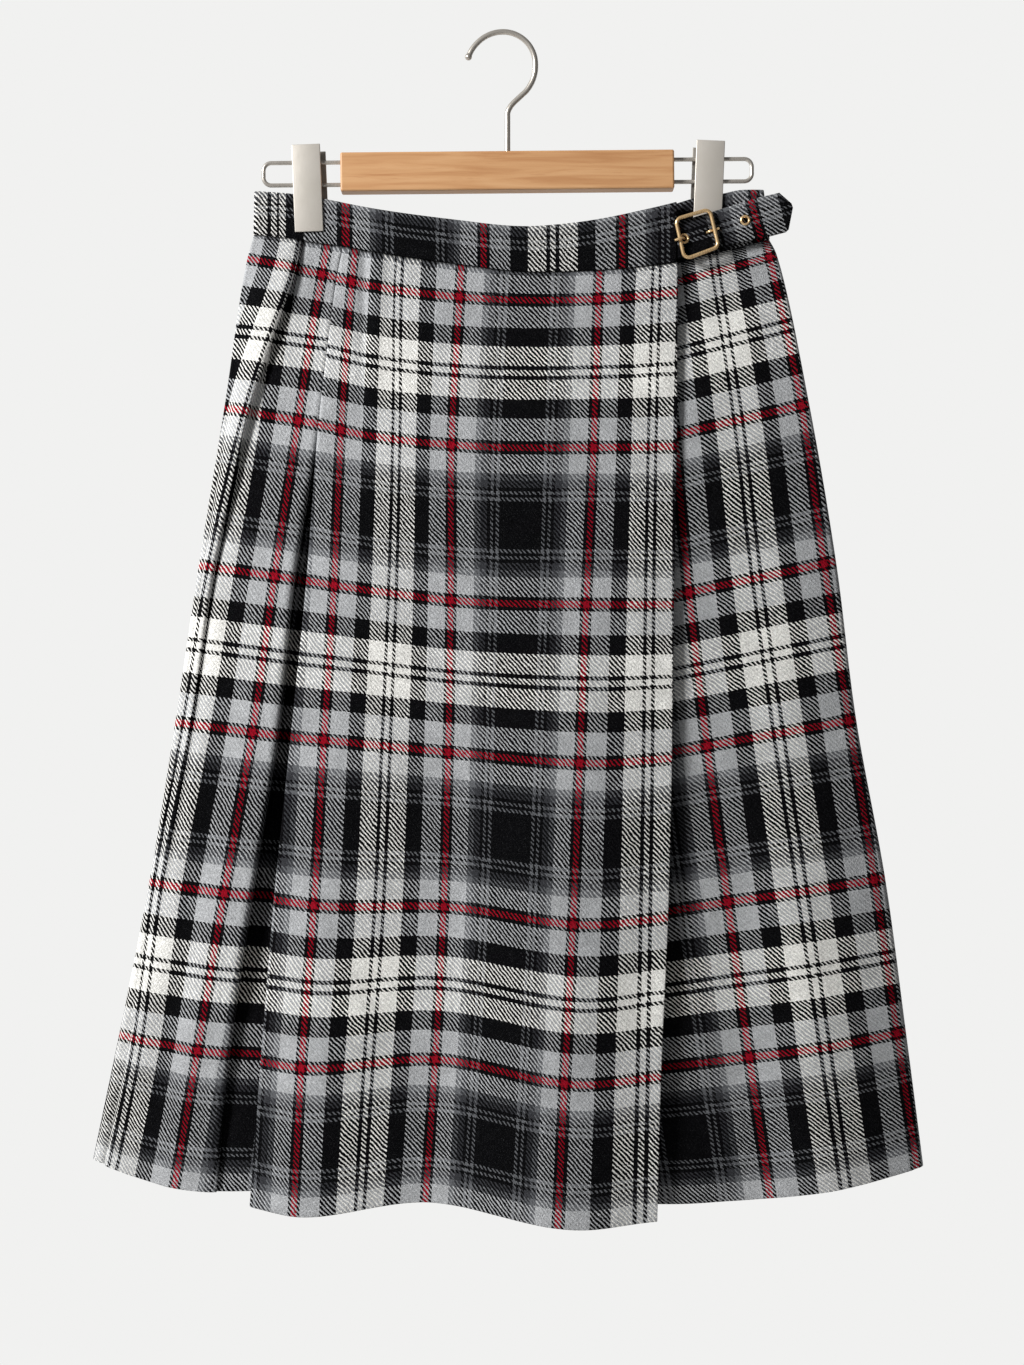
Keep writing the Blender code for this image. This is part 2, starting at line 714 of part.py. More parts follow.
def tube(name, points, radius, finish, collection, cyclic=False, resolution=2):
    curve = bpy.data.curves.new(name, "CURVE")
    curve.dimensions = "3D"
    curve.bevel_depth = radius
    curve.bevel_resolution = resolution
    curve.use_fill_caps = not cyclic
    spline = curve.splines.new("POLY")
    spline.points.add(len(points) - 1)
    for point, place in zip(spline.points, points):
        point.co = (*place, 1.0)
    spline.use_cyclic_u = cyclic
    return add_object(name, curve, finish, collection)


def hanger_place(x, z):
    """A point of the hanger's own upright plane, after its small tilt."""
    turned = Matrix.Rotation(-HANGER_TILT, 3, "Y") @ Vector((x, 0.0, z))
    return BAR_CENTRE + turned


def loop_points(side, reach):
    """One bent wire: out of the bar, round its end and back in."""
    inner = side * (BAR_SIZE.x / 2 - SOCKET_DEPTH + SOCKET_CLEARANCE)
    outer = side * (BAR_SIZE.x / 2 + reach)
    half = WIRE_PITCH / 2
    points = [hanger_place(inner, half)]
    for sign, angles in ((1, (90, 60, 30, 0)), (-1, (0, -30, -60, -90))):
        for degrees in angles:
            turn = math.radians(degrees)
            x = outer - side * WIRE_CORNER * (1 - math.cos(turn))
            z = sign * (half - WIRE_CORNER) + WIRE_CORNER * math.sin(turn)
            points.append(hanger_place(x, z))
    points.append(hanger_place(inner, -half))
    return points


def build_bar(collection, cutters):
    bar = box("hanger_bar", BAR_CENTRE, BAR_SIZE, collection, -HANGER_TILT)
    bar.data.materials.append(finish_of("beech", "hanger_bar"))
    edge = bar.modifiers.new("Rounded edges", "BEVEL")
    edge.width = BAR_EDGE
    edge.segments = 2
    along = Matrix.Rotation(-HANGER_TILT, 3, "Y") @ Vector((1, 0, 0))
    for side in (-1, 1):
        for level in (-1, 1):
            centre = hanger_place(side * BAR_SIZE.x / 2, level * WIRE_PITCH / 2)
            bore = cylinder(
                f"bore_{side}_{level}",
                centre,
                WIRE_RADIUS + SOCKET_CLEARANCE,
                2 * SOCKET_DEPTH,
                along,
                cutters,
            )
            boolean(bar, bore, "DIFFERENCE")
    top = Vector((HOOK_STEM_X, 0.0, BAR_CENTRE.z + BAR_SIZE.z / 2))
    bore = cylinder(
        "bore_hook", top, HOOK_RADIUS + SOCKET_CLEARANCE, 2 * SOCKET_DEPTH, Vector((0, 0, 1)), cutters
    )
    boolean(bar, bore, "DIFFERENCE")


def hook_points():
    """Stem, neck and open bend of the hook, in the plane Y = 0."""
    foot = BAR_CENTRE.z + BAR_SIZE.z / 2 - SOCKET_DEPTH + SOCKET_CLEARANCE
    points = [Vector((HOOK_STEM_X, 0.0, foot)), Vector((HOOK_STEM_X, 0.0, HOOK_NECK_Z - 1.5 * MM))]
    points.append(Vector((HOOK_STEM_X + 0.8 * MM, 0.0, HOOK_NECK_Z + 1.0 * MM)))
    angles = [row.degrees for row in HOOK_BENDS]
    for degrees in range(angles[0], angles[-1] + 1, HOOK_STEP):
        reach = MM * curve_through(angles, [row.reach for row in HOOK_BENDS], degrees)
        turn = math.radians(degrees)
        points.append(
            Vector((reach * math.cos(turn), 0.0, HOOK_CENTRE_Z + reach * math.sin(turn)))
        )
    return points


def build_hook(collection, cutters):
    points = hook_points()
    wire = tube("hook_wire", points, HOOK_RADIUS, "satin_steel", collection)
    bpy.context.view_layer.update()
    evaluated = wire.evaluated_get(bpy.context.evaluated_depsgraph_get())
    mesh = bpy.data.meshes.new_from_object(evaluated)
    shape = bmesh.new()
    shape.from_mesh(mesh)
    bmesh.ops.remove_doubles(shape, verts=shape.verts, dist=0.01 * MM)
    shape.to_mesh(mesh)
    shape.free()
    bpy.data.objects.remove(wire, do_unlink=True)
    hook = bpy.data.objects.new("hanger_hook", mesh)
    collection.objects.link(hook)
    mesh.materials.clear()
    mesh.materials.append(finish_of("satin_steel", "hanger_hook"))
    ball_mesh = bpy.data.meshes.new("hook_ball")
    shape = bmesh.new()
    bmesh.ops.create_uvsphere(shape, u_segments=12, v_segments=8, radius=HOOK_BALL)
    shape.to_mesh(ball_mesh)
    shape.free()
    ball = bpy.data.objects.new("hook_ball", ball_mesh)
    ball.location = points[-1]
    cutters.objects.link(ball)
    boolean(hook, ball, "UNION")


def clip_matrix(clip):
    """The clip's own frame: its top centre, leaning in the front plane."""
    return Matrix.Translation((clip.x, 0.0, clip.top)) @ Matrix.Rotation(clip.lean, 4, "Y")


def build_clip(clip, collection, cutters):
    """Front plate with two short side flanges, rear jaw, and the spring between them."""
    frame = clip_matrix(clip)
    face = -(CLIP_INNER + CLIP_PLATE / 2)
    size = Vector((CLIP_WIDTH, CLIP_PLATE, CLIP_HEIGHT))
    centre = frame @ Vector((0.0, face, -CLIP_HEIGHT / 2))
    plate = box(f"clip_front_{clip.side}", centre, size, collection, clip.lean)
    plate.data.materials.append(finish_of("satin_steel", plate.name))
    flange_depth = CLIP_INNER - WIRE_RADIUS - SOCKET_CLEARANCE
    for side in (-1, 1):
        place = Vector((side * (CLIP_WIDTH / 2 - CLIP_PLATE / 2), 0.0, -CLIP_FLANGE_HEIGHT / 2))
        place.y = -CLIP_INNER + flange_depth / 2 - 0.1 * MM
        flange = box(
            f"flange_{clip.side}_{side}",
            frame @ place,
            Vector((CLIP_PLATE, flange_depth + 0.2 * MM, CLIP_FLANGE_HEIGHT)),
            cutters,
            clip.lean,
        )
        boolean(plate, flange, "UNION")
    rear_centre = Vector((clip.rear_shift, -face, -(CLIP_HEIGHT - REAR_HEIGHT / 2)))
    rear = box(
        f"clip_rear_{clip.side}",
        frame @ rear_centre,
        Vector((REAR_WIDTH, CLIP_PLATE, REAR_HEIGHT)),
        collection,
        clip.lean,
    )
    rear.data.materials.append(finish_of("satin_steel", rear.name))
    wires = hanger_place(clip.x - BAR_CENTRE.x, 0.0)
    spring = cylinder(
        f"clip_spring_{clip.side}",
        Vector((clip.x + clip.rear_shift / 2, 0.0, wires.z)),
        SPRING_RADIUS,
        SPRING_LENGTH,
        Vector((1, 0, 0)),
        collection,
        12,
    )
    spring.data.materials.append(finish_of("satin_steel", spring.name))


def strap_matrix():
    """The strap's own frame: +X along it to the point, +Z across it, -Y outwards."""
    return Matrix.Translation(STRAP_CENTRE) @ Matrix.Rotation(-STRAP_RISE, 4, "Y")


def on_strap(along, out, across=0.0):
    """A point in the strap's own frame, from mm along, away from the skirt and across."""
    return strap_matrix() @ Vector((along * MM, -out * MM, across * MM))


def plate_of(name, outline, thickness):
    """A flat plate with this outline in its XZ plane, centred on that plane."""
    mesh = bpy.data.meshes.new(name)
    shape = bmesh.new()
    near = [shape.verts.new((x, -thickness / 2, z)) for x, z in outline]
    far = [shape.verts.new((x, thickness / 2, z)) for x, z in outline]
    shape.faces.new(near)
    shape.faces.new(far[::-1])
    for i in range(len(outline)):
        j = (i + 1) % len(outline)
        shape.faces.new((near[i], far[i], far[j], near[j]))
    bmesh.ops.recalc_face_normals(shape, faces=shape.faces)
    shape.to_mesh(mesh)
    shape.free()
    return mesh


def build_strap(collection, cutters):
    """Strap with a pointed end, two eyelet holes and the slot that the prong turns in."""
    outline = [(corner.along * MM, corner.across * MM) for corner in STRAP_CORNERS]
    mesh = plate_of("buckle_strap", outline, BAND_WALL)
    strap = add_object("buckle_strap", mesh, "band_wool", collection)
    strap.matrix_world = strap_matrix()
    outwards = strap_matrix().to_3x3() @ Vector((0, 1, 0))
    for eyelet in EYELETS:
        hole = cylinder(
            f"hole_{eyelet.name}",
            on_strap(eyelet.along, 0.0, eyelet.across),
            EYELET_BARREL + SOCKET_CLEARANCE,
            4 * BAND_WALL,
            outwards,
            cutters,
            20,
        )
        boolean(strap, hole, "DIFFERENCE")
    slot = box("prong_slot", on_strap(PRONG_SLOT_AT / MM, 0.0), PRONG_SLOT, cutters, -STRAP_RISE)
    boolean(strap, slot, "DIFFERENCE")


def build_eyelet(eyelet, collection):
    """Turned brass eyelet: a short barrel with a rounded lip on the strap's face."""
    face = BAND_WALL / 2
    lip = face + 0.3 * MM
    profile = (
        (EYELET_BORE, lip + EYELET_LIP * 0.5),
        (EYELET_BORE + 0.4 * MM, lip + EYELET_LIP),
        (EYELET_FLANGE - 0.5 * MM, lip + EYELET_LIP * 0.8),
        (EYELET_FLANGE, lip + EYELET_LIP * 0.3),
        (EYELET_FLANGE, lip),
        (EYELET_BARREL, lip),
        (EYELET_BARREL, -face),
        (EYELET_BORE, -face),
    )
    mesh = bpy.data.meshes.new(f"eyelet_{eyelet.name}")
    shape = bmesh.new()
    points = [shape.verts.new((radius, 0.0, level)) for radius, level in profile]
    for first, second in zip(points, points[1:] + points[:1]):
        shape.edges.new((first, second))
    shape.to_mesh(mesh)
    shape.free()
    obj = add_object(mesh.name, mesh, "brass", collection)
    turn = obj.modifiers.new("Turned", "SCREW")
    turn.steps = 20
    turn.render_steps = 20
    turn.use_merge_vertices = True
    turn.merge_threshold = 0.01 * MM
    turn.use_normal_calculate = True
    outwards = Matrix.Rotation(math.radians(90), 4, "X")
    centre = Matrix.Translation((eyelet.along * MM, 0.0, eyelet.across * MM))
    obj.matrix_world = strap_matrix() @ centre @ outwards


def rounded(corners, radius, steps=4):
    """Points of a closed outline with each of its corners rounded by this radius."""
    points = []
    count = len(corners)
    for i, corner in enumerate(corners):
        back = (corners[i - 1] - corner).normalized()
        on = (corners[(i + 1) % count] - corner).normalized()
        half = back.angle(on) / 2
        reach = radius / math.tan(half)
        centre = corner + (back + on).normalized() * (radius / math.sin(half))
        start = corner + back * reach - centre
        end = corner + on * reach - centre
        for step in range(steps + 1):
            points.append(centre + start.slerp(end, step / steps).normalized() * radius)
    return points


def build_buckle(collection):
    """Four-sided wire frame with round corners, lying just proud of the strap."""
    out = BAND_WALL / 2 + FRAME_GAP + FRAME_WIRE
    corners = [on_strap(corner.along, out / MM, corner.across) for corner in FRAME_CORNERS]
    points = rounded(corners, FRAME_ROUND)
    tube("buckle_frame", points, FRAME_WIRE, "brass", collection, cyclic=True)


def build_prong(collection):
    """Prong: round the right bar, under the strap, out of the eyelet, over the left bar."""
    points = [on_strap(bend.along, bend.out) for bend in PRONG_BENDS]
    tube("buckle_prong", points, PRONG_WIRE, "brass", collection)


def main():
    clear_scene()
    skirt = new_collection("Kilt skirt on a clip hanger")
    cutters = new_collection("Cutters")
    build_apron(skirt)
    build_left_panel(skirt)
    build_under_apron(skirt)
    build_back_panel(skirt)
    build_waistband(skirt)
    build_bar(skirt, cutters)
    build_hook(skirt, cutters)
    tube("hanger_loop_left", loop_points(-1, LOOP_REACH_LEFT), WIRE_RADIUS, "satin_steel", skirt)
    tube("hanger_loop_right", loop_points(1, LOOP_REACH_RIGHT), WIRE_RADIUS, "satin_steel", skirt)
    for clip in CLIPS:
        build_clip(clip, skirt, cutters)
    build_strap(skirt, cutters)
    for eyelet in EYELETS:
        build_eyelet(eyelet, skirt)
    build_buckle(skirt)
    build_prong(skirt)


main()
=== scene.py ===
"""Checked wrap kilt skirt, hung by its waistband from a wooden clip hanger.

Metres, +Z up, the front faces -Y. Tables that say mm are in millimetres. The cloth
is charted in check units: a red line lies every 110 units both ways of the cloth.
"""

import logging
import math
from dataclasses import dataclass, field
from enum import Enum

import bpy
import numpy as np
from mathutils import Matrix, Vector


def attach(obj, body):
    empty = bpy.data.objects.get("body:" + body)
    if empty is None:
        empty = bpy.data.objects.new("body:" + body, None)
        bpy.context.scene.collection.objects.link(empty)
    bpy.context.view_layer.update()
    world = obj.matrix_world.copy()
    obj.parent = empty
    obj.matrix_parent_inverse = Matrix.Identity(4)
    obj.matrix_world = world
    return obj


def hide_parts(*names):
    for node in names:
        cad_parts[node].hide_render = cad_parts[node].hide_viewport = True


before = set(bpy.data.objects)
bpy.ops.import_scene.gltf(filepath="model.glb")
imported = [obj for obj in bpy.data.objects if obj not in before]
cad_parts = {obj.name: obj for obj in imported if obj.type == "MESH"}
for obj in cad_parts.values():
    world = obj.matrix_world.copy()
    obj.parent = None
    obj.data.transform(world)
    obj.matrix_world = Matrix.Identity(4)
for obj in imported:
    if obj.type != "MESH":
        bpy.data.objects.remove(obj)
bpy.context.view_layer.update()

MM = 0.001
BODY = "root"
CUT_LENGTH = 678 * MM
CHECK_MAP = "check"
THREAD_MAP = "thread"
UNITS_TO_MAP = 100.0
log = logging.getLogger("kilt")

Points = np.ndarray
Colour = tuple[float, float, float]
Triple = tuple[float, float, float]
Socket = bpy.types.NodeSocket


# ---------------------------------------------------------------- measures


def ease(value: Points | float) -> Points | float:
    """Soft step from 0 to 1 between 0 and 1."""
    value = np.clip(value, 0.0, 1.0)
    return value * value * (3.0 - 2.0 * value)


def cubic(u: Points, start: Points, leave: Points, end: Points, meet: Points) -> Points:
    """Cubic from start to end, read at u from 0 to 1.

    Args:
        u: Where the curve is read.
        start: Value at 0.
        leave: Slope at 0.
        end: Value at 1.
        meet: Slope at 1.

    Returns:
        The curve's values at u.
    """
    return (
        (2 * u**3 - 3 * u**2 + 1) * start
        + (u**3 - 2 * u**2 + u) * leave
        + (3 * u**2 - 2 * u**3) * end
        + (u**3 - u**2) * meet
    )


def through(xs: Points, ys: Points, x: Points | float) -> Points:
    """Values at x of a smooth curve through the points.

    Args:
        xs: Places of the points, rising.
        ys: Their values.
        x: Where the curve is read, held inside the first and the last place.

    Returns:
        The curve's values, with no overshoot on a level stretch.
    """
    xs, ys = np.asarray(xs, float), np.asarray(ys, float)
    x = np.clip(np.asarray(x, float), xs[0], xs[-1])
    steps = np.diff(xs)
    slopes = np.diff(ys) / steps
    tangents = np.concatenate([slopes[:1], (slopes[1:] + slopes[:-1]) / 2, slopes[-1:]])
    i = np.clip(np.searchsorted(xs, x, side="right") - 1, 0, len(steps) - 1)
    level = slopes[i] == 0.0
    start, end = np.where(level, 0.0, tangents[i]), np.where(level, 0.0, tangents[i + 1])
    u = (x - xs[i]) / steps[i]
    return cubic(u, ys[i], steps[i] * start, ys[i + 1], steps[i] * end)


class Table:
    """Named columns of measures in mm, read at any place of the first column."""

    def __init__(self, names: str, *rows: tuple[float, ...]) -> None:
        """Keeps the rows by column name."""
        self.columns = dict(zip(names.split(), np.array(rows, float).T))
        self.places = next(iter(self.columns.values()))

    def at(self, name: str, place: Points | float) -> Points:
        """Metres in the named column, at a place given in metres."""
        return MM * through(self.places, self.columns[name], np.asarray(place) / MM)


@dataclass(frozen=True)
class Fold:
    """A soft fold down a panel, in mm: its place and rise at the waist and at the hem."""

    waist_x: float
    hem_x: float
    waist_rise: float
    hem_rise: float
    half_width: float
    start: float

    def height(self, x: Points, drop: float) -> Points:
        """Height towards the front at x, at this length of cloth below the seam.

        Args:
            x: Places across, in metres.
            drop: Length of cloth below the seam.

        Returns:
            Metres at each place.
        """
        part = drop / CUT_LENGTH
        place = MM * (self.waist_x + (self.hem_x - self.waist_x) * part)
        rise = MM * self.waist_rise * (1 - ease(part * 4))
        rise += MM * self.hem_rise * ease((drop / MM - self.start) / (678 - self.start))
        return rise * np.exp(-(((x - place) / (MM * self.half_width)) ** 2))


@dataclass
class HungForm:
    """How the skirt hangs: its outline and the depth of each layer of cloth."""

    sides: Table = Table(
        "drop left left_z right right_z",
        (0, -176.0, -142.6, 188.2, -145.8),
        (22, -180.8, -159.7, 193.8, -157.2),
        (131, -197.1, -265.3, 216.6, -262.3),
        (240, -215.2, -377.4, 235.7, -374.4),
        (350, -231.9, -488.0, 249.9, -485.9),
        (461, -250.3, -601.5, 270.5, -598.8),
        (573, -271.6, -709.3, 285.1, -706.7),
        (678, -290.0, -797.6, 297.5, -802.6),
    )
    band: Table = Table(
        "x lower upper front under back",
        (-176.0, -142.5, -111.4, -1.6, -1.6, 1.6),
        (-151.2, -145.5, -113.2, -1.6, -1.6, 1.6),
        (-126.4, -149.0, -117.0, -1.7, -1.6, 1.6),
        (-123.0, -149.4, -117.7, -1.8, -1.6, 1.6),
        (-117.6, -150.2, -118.8, -2.3, -1.7, 4.6),
        (-108.6, -151.7, -120.9, -3.2, -2.0, 5.2),
        (-84.4, -156.4, -125.6, -5.2, -2.4, 6.0),
        (-35.2, -163.8, -132.6, -7.4, -2.8, 6.8),
        (12.1, -169.5, -137.5, -8.2, -2.8, 7.0),
        (40.3, -169.7, -136.1, -8.2, -2.8, 6.8),
        (68.6, -168.6, -132.3, -8.2, -2.8, 5.6),
        (96.8, -166.2, -126.5, -8.2, -2.5, 3.6),
        (122.8, -162.8, -120.3, -8.2, -1.8, 1.9),
        (134.1, -158.9, -116.9, -8.2, -1.6, 1.6),
        (157.5, -153.7, -113.2, -8.2, -1.6, 1.6),
        (170.2, -150.4, -110.8, -8.2, -1.6, 1.6),
        (188.2, -145.8, -110.4, -8.2, -1.6, 1.6),
    )
    seam_gap: float = 0.15 * MM
    settle: float = 150 * MM
    back_settle: float = 42 * MM
    front_end: float = 122.8 * MM
    front_bulge: tuple[float, float] = (7 * MM, 38 * MM)
    under_behind: tuple[float, float] = (3.4 * MM, 7.5 * MM)
    back_bulge: tuple[float, float] = (8.5 * MM, 26 * MM)
    radius: tuple[float, float] = (1.6 * MM, 6.0 * MM)
    under_folds: tuple[Fold, ...] = (
        Fold(150.0, 165.0, 0.0, -5.0, 40.0, 60),
        Fold(170.0, 232.0, 0.0, 6.0, 36.0, 120),
    )
    back_folds: tuple[Fold, ...] = (
        Fold(-60.0, -150.0, 0.0, -5.0, 45.0, 150),
        Fold(30.0, 30.0, 0.0, -6.0, 55.0, 100),
        Fold(100.0, 205.0, 0.0, -4.0, 40.0, 180),
    )

    ripple_sizes: tuple[float, ...] = (0.052, 0.043, 0.034, 0.027, 0.021, 0.017, 0.013)
    ripple_sum: float = 3.2
    ripple_rise: float = 0.62 * MM
    ripple_seed: int = 7
    gather_rise: float = 0.35 * MM
    still_edge: tuple[float, float] = (10 * MM, 18 * MM)

    def blend(self, ends: tuple[float, float], drop: float) -> float:
        """Between the waist's measure and the hem's."""
        return ends[0] + (ends[1] - ends[0]) * drop / CUT_LENGTH

    def side_radius(self, drop: float) -> float:
        """Radius of the turn at both side edges."""
        return self.blend(self.radius, drop)

    def lens(self, x: Points, drop: float) -> Points:
        """1 in the middle of the skirt and 0 at both side edges."""
        left, right = self.sides.at("left", drop), self.sides.at("right", drop)
        return np.maximum(0.0, 1.0 - ((2 * x - left - right) / (right - left)) ** 2)

    def front_depth(self, x: Points, drop: float) -> Points:
        """Y of the front's main surface."""
        hung = -self.side_radius(drop) - self.blend(self.front_bulge, drop) * self.lens(x, drop)
        part = ease(drop / self.settle)
        return self.band.at("front", np.minimum(x, self.front_end)) * (1 - part) + hung * part

    def under_depth(self, x: Points, drop: float) -> Points:
        """Y of the layer under the apron.

        Args:
            x: Places across, in metres.
            drop: Length of cloth below the seam.

        Returns:
            Y at each place.
        """
        bulge = self.blend(self.front_bulge, drop) - self.blend(self.under_behind, drop)
        hung = -self.side_radius(drop) - bulge * self.lens(x, drop)
        hung = hung - sum(fold.height(x, drop) for fold in self.under_folds)
        part = ease(drop / self.settle)
        return self.band.at("under", x) * (1 - part) + hung * part

    def back_depth(self, x: Points, drop: float) -> Points:
        """Y of the back's main surface.

        Args:
            x: Places across, in metres.
            drop: Length of cloth below the seam.

        Returns:
            Y at each place.
        """
        folds = sum(fold.height(x, drop) for fold in self.back_folds)
        bulge = self.blend(self.back_bulge, drop) - folds
        part = ease(drop / self.back_settle)
        hung = self.side_radius(drop) + bulge * self.lens(x, drop)
        return self.band.at("back", x) * (1 - part) + hung * part

    def row_height(self, height: Points, x: Points, drop: float) -> Points:
        """Height of a panel's row: the first one hangs just clear of the band."""
        return self.band.at("lower", x) - self.seam_gap if drop == 0.0 else height

    def side_turn(self, edge: float, drop: float, inward: int, wrap: float) -> Points:
        """(x, y) points from the back seam, round a side edge, to the front.

        Args:
            edge: X of the side edge.
            drop: Length of cloth below the seam.
            inward: 1 at the left edge and -1 at the right.
            wrap: How far the cloth runs on behind the turn.

        Returns:
            The points, a row each.
        """
        radius = self.side_radius(drop) if drop >= 0 else self.radius[0]
        centre = edge + inward * radius
        turn = np.radians(np.linspace(90, -90, 9))
        arc_x = centre - inward * radius * np.cos(turn)
        xs = np.concatenate([[centre + inward * wrap, centre + inward * wrap / 2], arc_x])
        ys = np.concatenate([[radius, radius], radius * np.sin(turn)])
        return np.stack([xs, ys], axis=1)

    def ripple(self, x: Points, z: Points, seed: int) -> Points:
        """Small hollows and rises of soft wool, about 1 at most.

        Args:
            x: Places across, in metres.
            z: Heights of the same points.
            seed: Which of the many patterns it is.

        Returns:
            The pattern's height at each point.
        """
        draw = np.random.default_rng(seed)
        total = np.zeros(np.broadcast(x, z).shape)
        for size in self.ripple_sizes:
            turn = draw.uniform(0, math.pi)
            across = x * math.cos(turn) + z * 0.6 * math.sin(turn)
            other = z * 0.5 * math.cos(turn) - x * math.sin(turn)
            phase, sway = draw.uniform(0, 6.28, 2)
            bent = across + 0.25 * size * np.sin(other / size + sway)
            rise = size / self.ripple_sizes[0]
            total += rise * np.sin(2 * math.pi * bent / size + phase)
        return total / self.ripple_sum

    def crumple(self, x: Points, z: Points, drop: float) -> Points:
        """Metres towards the front that soft wool stands proud of its smooth form.

        Args:
            x: Places across, in metres.
            z: Heights of the same points.
            drop: Length of cloth below the seam.

        Returns:
            Metres at each point.
        """
        left, right = self.sides.at("left", drop), self.sides.at("right", drop)
        still, fade = self.still_edge
        inside = ease((x - left - still) / fade) * ease((right - still - x) / fade)
        low = ease((drop - 8 * MM) / (70 * MM))
        gather = np.sin(x / (2.9 * MM) + 1.5 * np.sin(x / (21 * MM)))
        gather = gather * self.gather_rise * ease(drop / (10 * MM))
        gather = gather * math.exp(-drop / (26 * MM))
        return inside * (self.ripple_rise * low * self.ripple(x, z, self.ripple_seed) + gather)


def stride(first: Points, second: Points) -> Points:
    """Length from each point to its partner, never quite nothing."""
    return np.maximum(np.linalg.norm(second - first, axis=1, keepdims=True), 1e-6)


def dense(points: Points, parts: int) -> Points:
    """More points on a smooth line through these.

    Args:
        points: The line's points, one row each.
        parts: How many stretches each stretch is cut into.

    Returns:
        The first point, then the new ones, ending at the last point.
    """
    ends = np.concatenate([2 * points[:1] - points[1:2], points, 2 * points[-1:] - points[-2:-1]])
    before, start, end, after = ends[:-3], ends[1:-2], ends[2:-1], ends[3:]
    near, span, far = stride(before, start), stride(start, end), stride(end, after)
    leave = span * ((start - before) / near * span + (end - start) / span * near) / (near + span)
    meet = span * ((end - start) / span * far + (after - end) / far * span) / (span + far)
    steps = np.arange(1, parts + 1)[:, None, None] / parts
    curve = cubic(steps, start, leave, end, meet)
    made = np.transpose(curve, (1, 0, 2)).reshape(-1, points.shape[1])
    return np.concatenate([points[:1], made])


def along(points: Points) -> Points:
    """Length along a line at each of its points."""
    return np.concatenate([[0.0], np.cumsum(np.linalg.norm(np.diff(points, axis=0), axis=1))])


# ---------------------------------------------------------------- work bench


def pick_none() -> None:
    """Leaves nothing selected."""
    for obj in list(bpy.context.selected_objects):
        obj.select_set(False)


def pick(obj: bpy.types.Object) -> bpy.types.Object:
    """Selects this object alone and makes it active.

    Args:
        obj: The object.

    Returns:
        The same object.
    """
    pick_none()
    obj.select_set(True)
    bpy.context.view_layer.objects.active = obj
    return obj


def fresh(name: str) -> bpy.types.Object:
    """Names the object that an operator has just added.

    Args:
        name: The piece's name.

    Returns:
        The named object.
    """
    obj = bpy.context.object
    obj.name = name
    obj.data.name = name
    return obj


def modify(obj: bpy.types.Object, kind: str, **settings: object) -> None:
    """Adds a modifier with these settings and applies it.

    Args:
        obj: The object.
        kind: The modifier's type.
        **settings: What is set on it.
    """
    pick(obj)
    modifier = obj.modifiers.new(kind.title(), kind)
    for key, value in settings.items():
        setattr(modifier, key, value)
    bpy.ops.object.modifier_apply(modifier=modifier.name)


def settle_in_place(obj: bpy.types.Object) -> None:
    """Moves the object's place, turn and size into its mesh."""
    pick(obj)
    bpy.ops.object.transform_apply(location=True, rotation=True, scale=True)


def places_of(mesh: bpy.types.Mesh) -> Points:
    """The mesh's points, a row each."""
    flat = np.empty(len(mesh.vertices) * 3)
    mesh.vertices.foreach_get("co", flat)
    return flat.reshape(-1, 3)


def write_chart(mesh: bpy.types.Mesh, name: str, chart: Points) -> None:
    """Lays units of cloth on a mesh as a UV map.

    Args:
        mesh: The mesh.
        name: The map's name; a map of that name is written over.
        chart: Units across and down the cloth at each point of the mesh.
    """
    corners = np.empty(len(mesh.loops), np.int32)
    mesh.loops.foreach_get("vertex_index", corners)
    layer = mesh.uv_layers.get(name) or mesh.uv_layers.new(name=name)
    layer.uv.foreach_set("vector", (chart / UNITS_TO_MAP)[corners].ravel())


def weave_sheet(
    name: str, points: Points, chart: Points, anchor: Points, wall: float, edge: float
) -> bpy.types.Object:
    """A sheet of cloth: a grid laid on these points, then given its thickness.

    Args:
        name: The piece's name.
        points: Rows of points, shaped (rows, columns, 3).
        chart: Check units at each point, across and down the cloth.
        anchor: X in each row of one straight thread, where lengths across start.
        wall: Thickness, half to each side of the points.
        edge: Rounding of the cut and pressed edges.

    Returns:
        The closed sheet, with its check chart as a UV map.
    """
    rows, columns = points.shape[:2]
    pick_none()
    bpy.ops.mesh.primitive_grid_add(
        x_subdivisions=columns - 1, y_subdivisions=rows - 1, size=2.0, calc_uvs=True
    )
    sheet = fresh(name)
    mesh = sheet.data
    flat = places_of(mesh)
    column = np.rint((flat[:, 0] + 1) / 2 * (columns - 1)).astype(int)
    row = np.rint((1 - flat[:, 1]) / 2 * (rows - 1)).astype(int)
    mesh.vertices.foreach_set("co", points[row, column].ravel())
    face = slice(columns // 3, None)
    across = []
    for line, start in zip(points, anchor):
        length = along(line)
        rising = np.maximum.accumulate(line[:, 0])
        across.append((length - np.interp(start, rising[face], length[face])) / MM)
    thread = np.stack([across, chart[:, :, 1]], axis=2)
    mesh.uv_layers[0].name = CHECK_MAP
    write_chart(mesh, CHECK_MAP, chart[row, column])
    write_chart(mesh, THREAD_MAP, thread[row, column])
    mesh.update()
    modify(sheet, "SOLIDIFY", thickness=wall, offset=0.0)
    if edge:
        modify(
            sheet,
            "BEVEL",
            width=edge,
            segments=2,
            limit_method="ANGLE",
            angle_limit=math.radians(62),
            loop_slide=False,
        )
    pick(sheet)
    bpy.ops.object.shade_smooth()
    return sheet


def face_outwards(obj: bpy.types.Object) -> None:
    """Joins points that lie on each other and turns all faces outwards.

    Args:
        obj: The object, a closed mesh.
    """
    pick(obj)
    bpy.ops.object.mode_set(mode="EDIT")
    bpy.ops.mesh.select_all(action="SELECT")
    bpy.ops.mesh.remove_doubles(threshold=0.01 * MM)
    bpy.ops.mesh.normals_make_consistent(inside=False)
    bpy.ops.object.mode_set(mode="OBJECT")


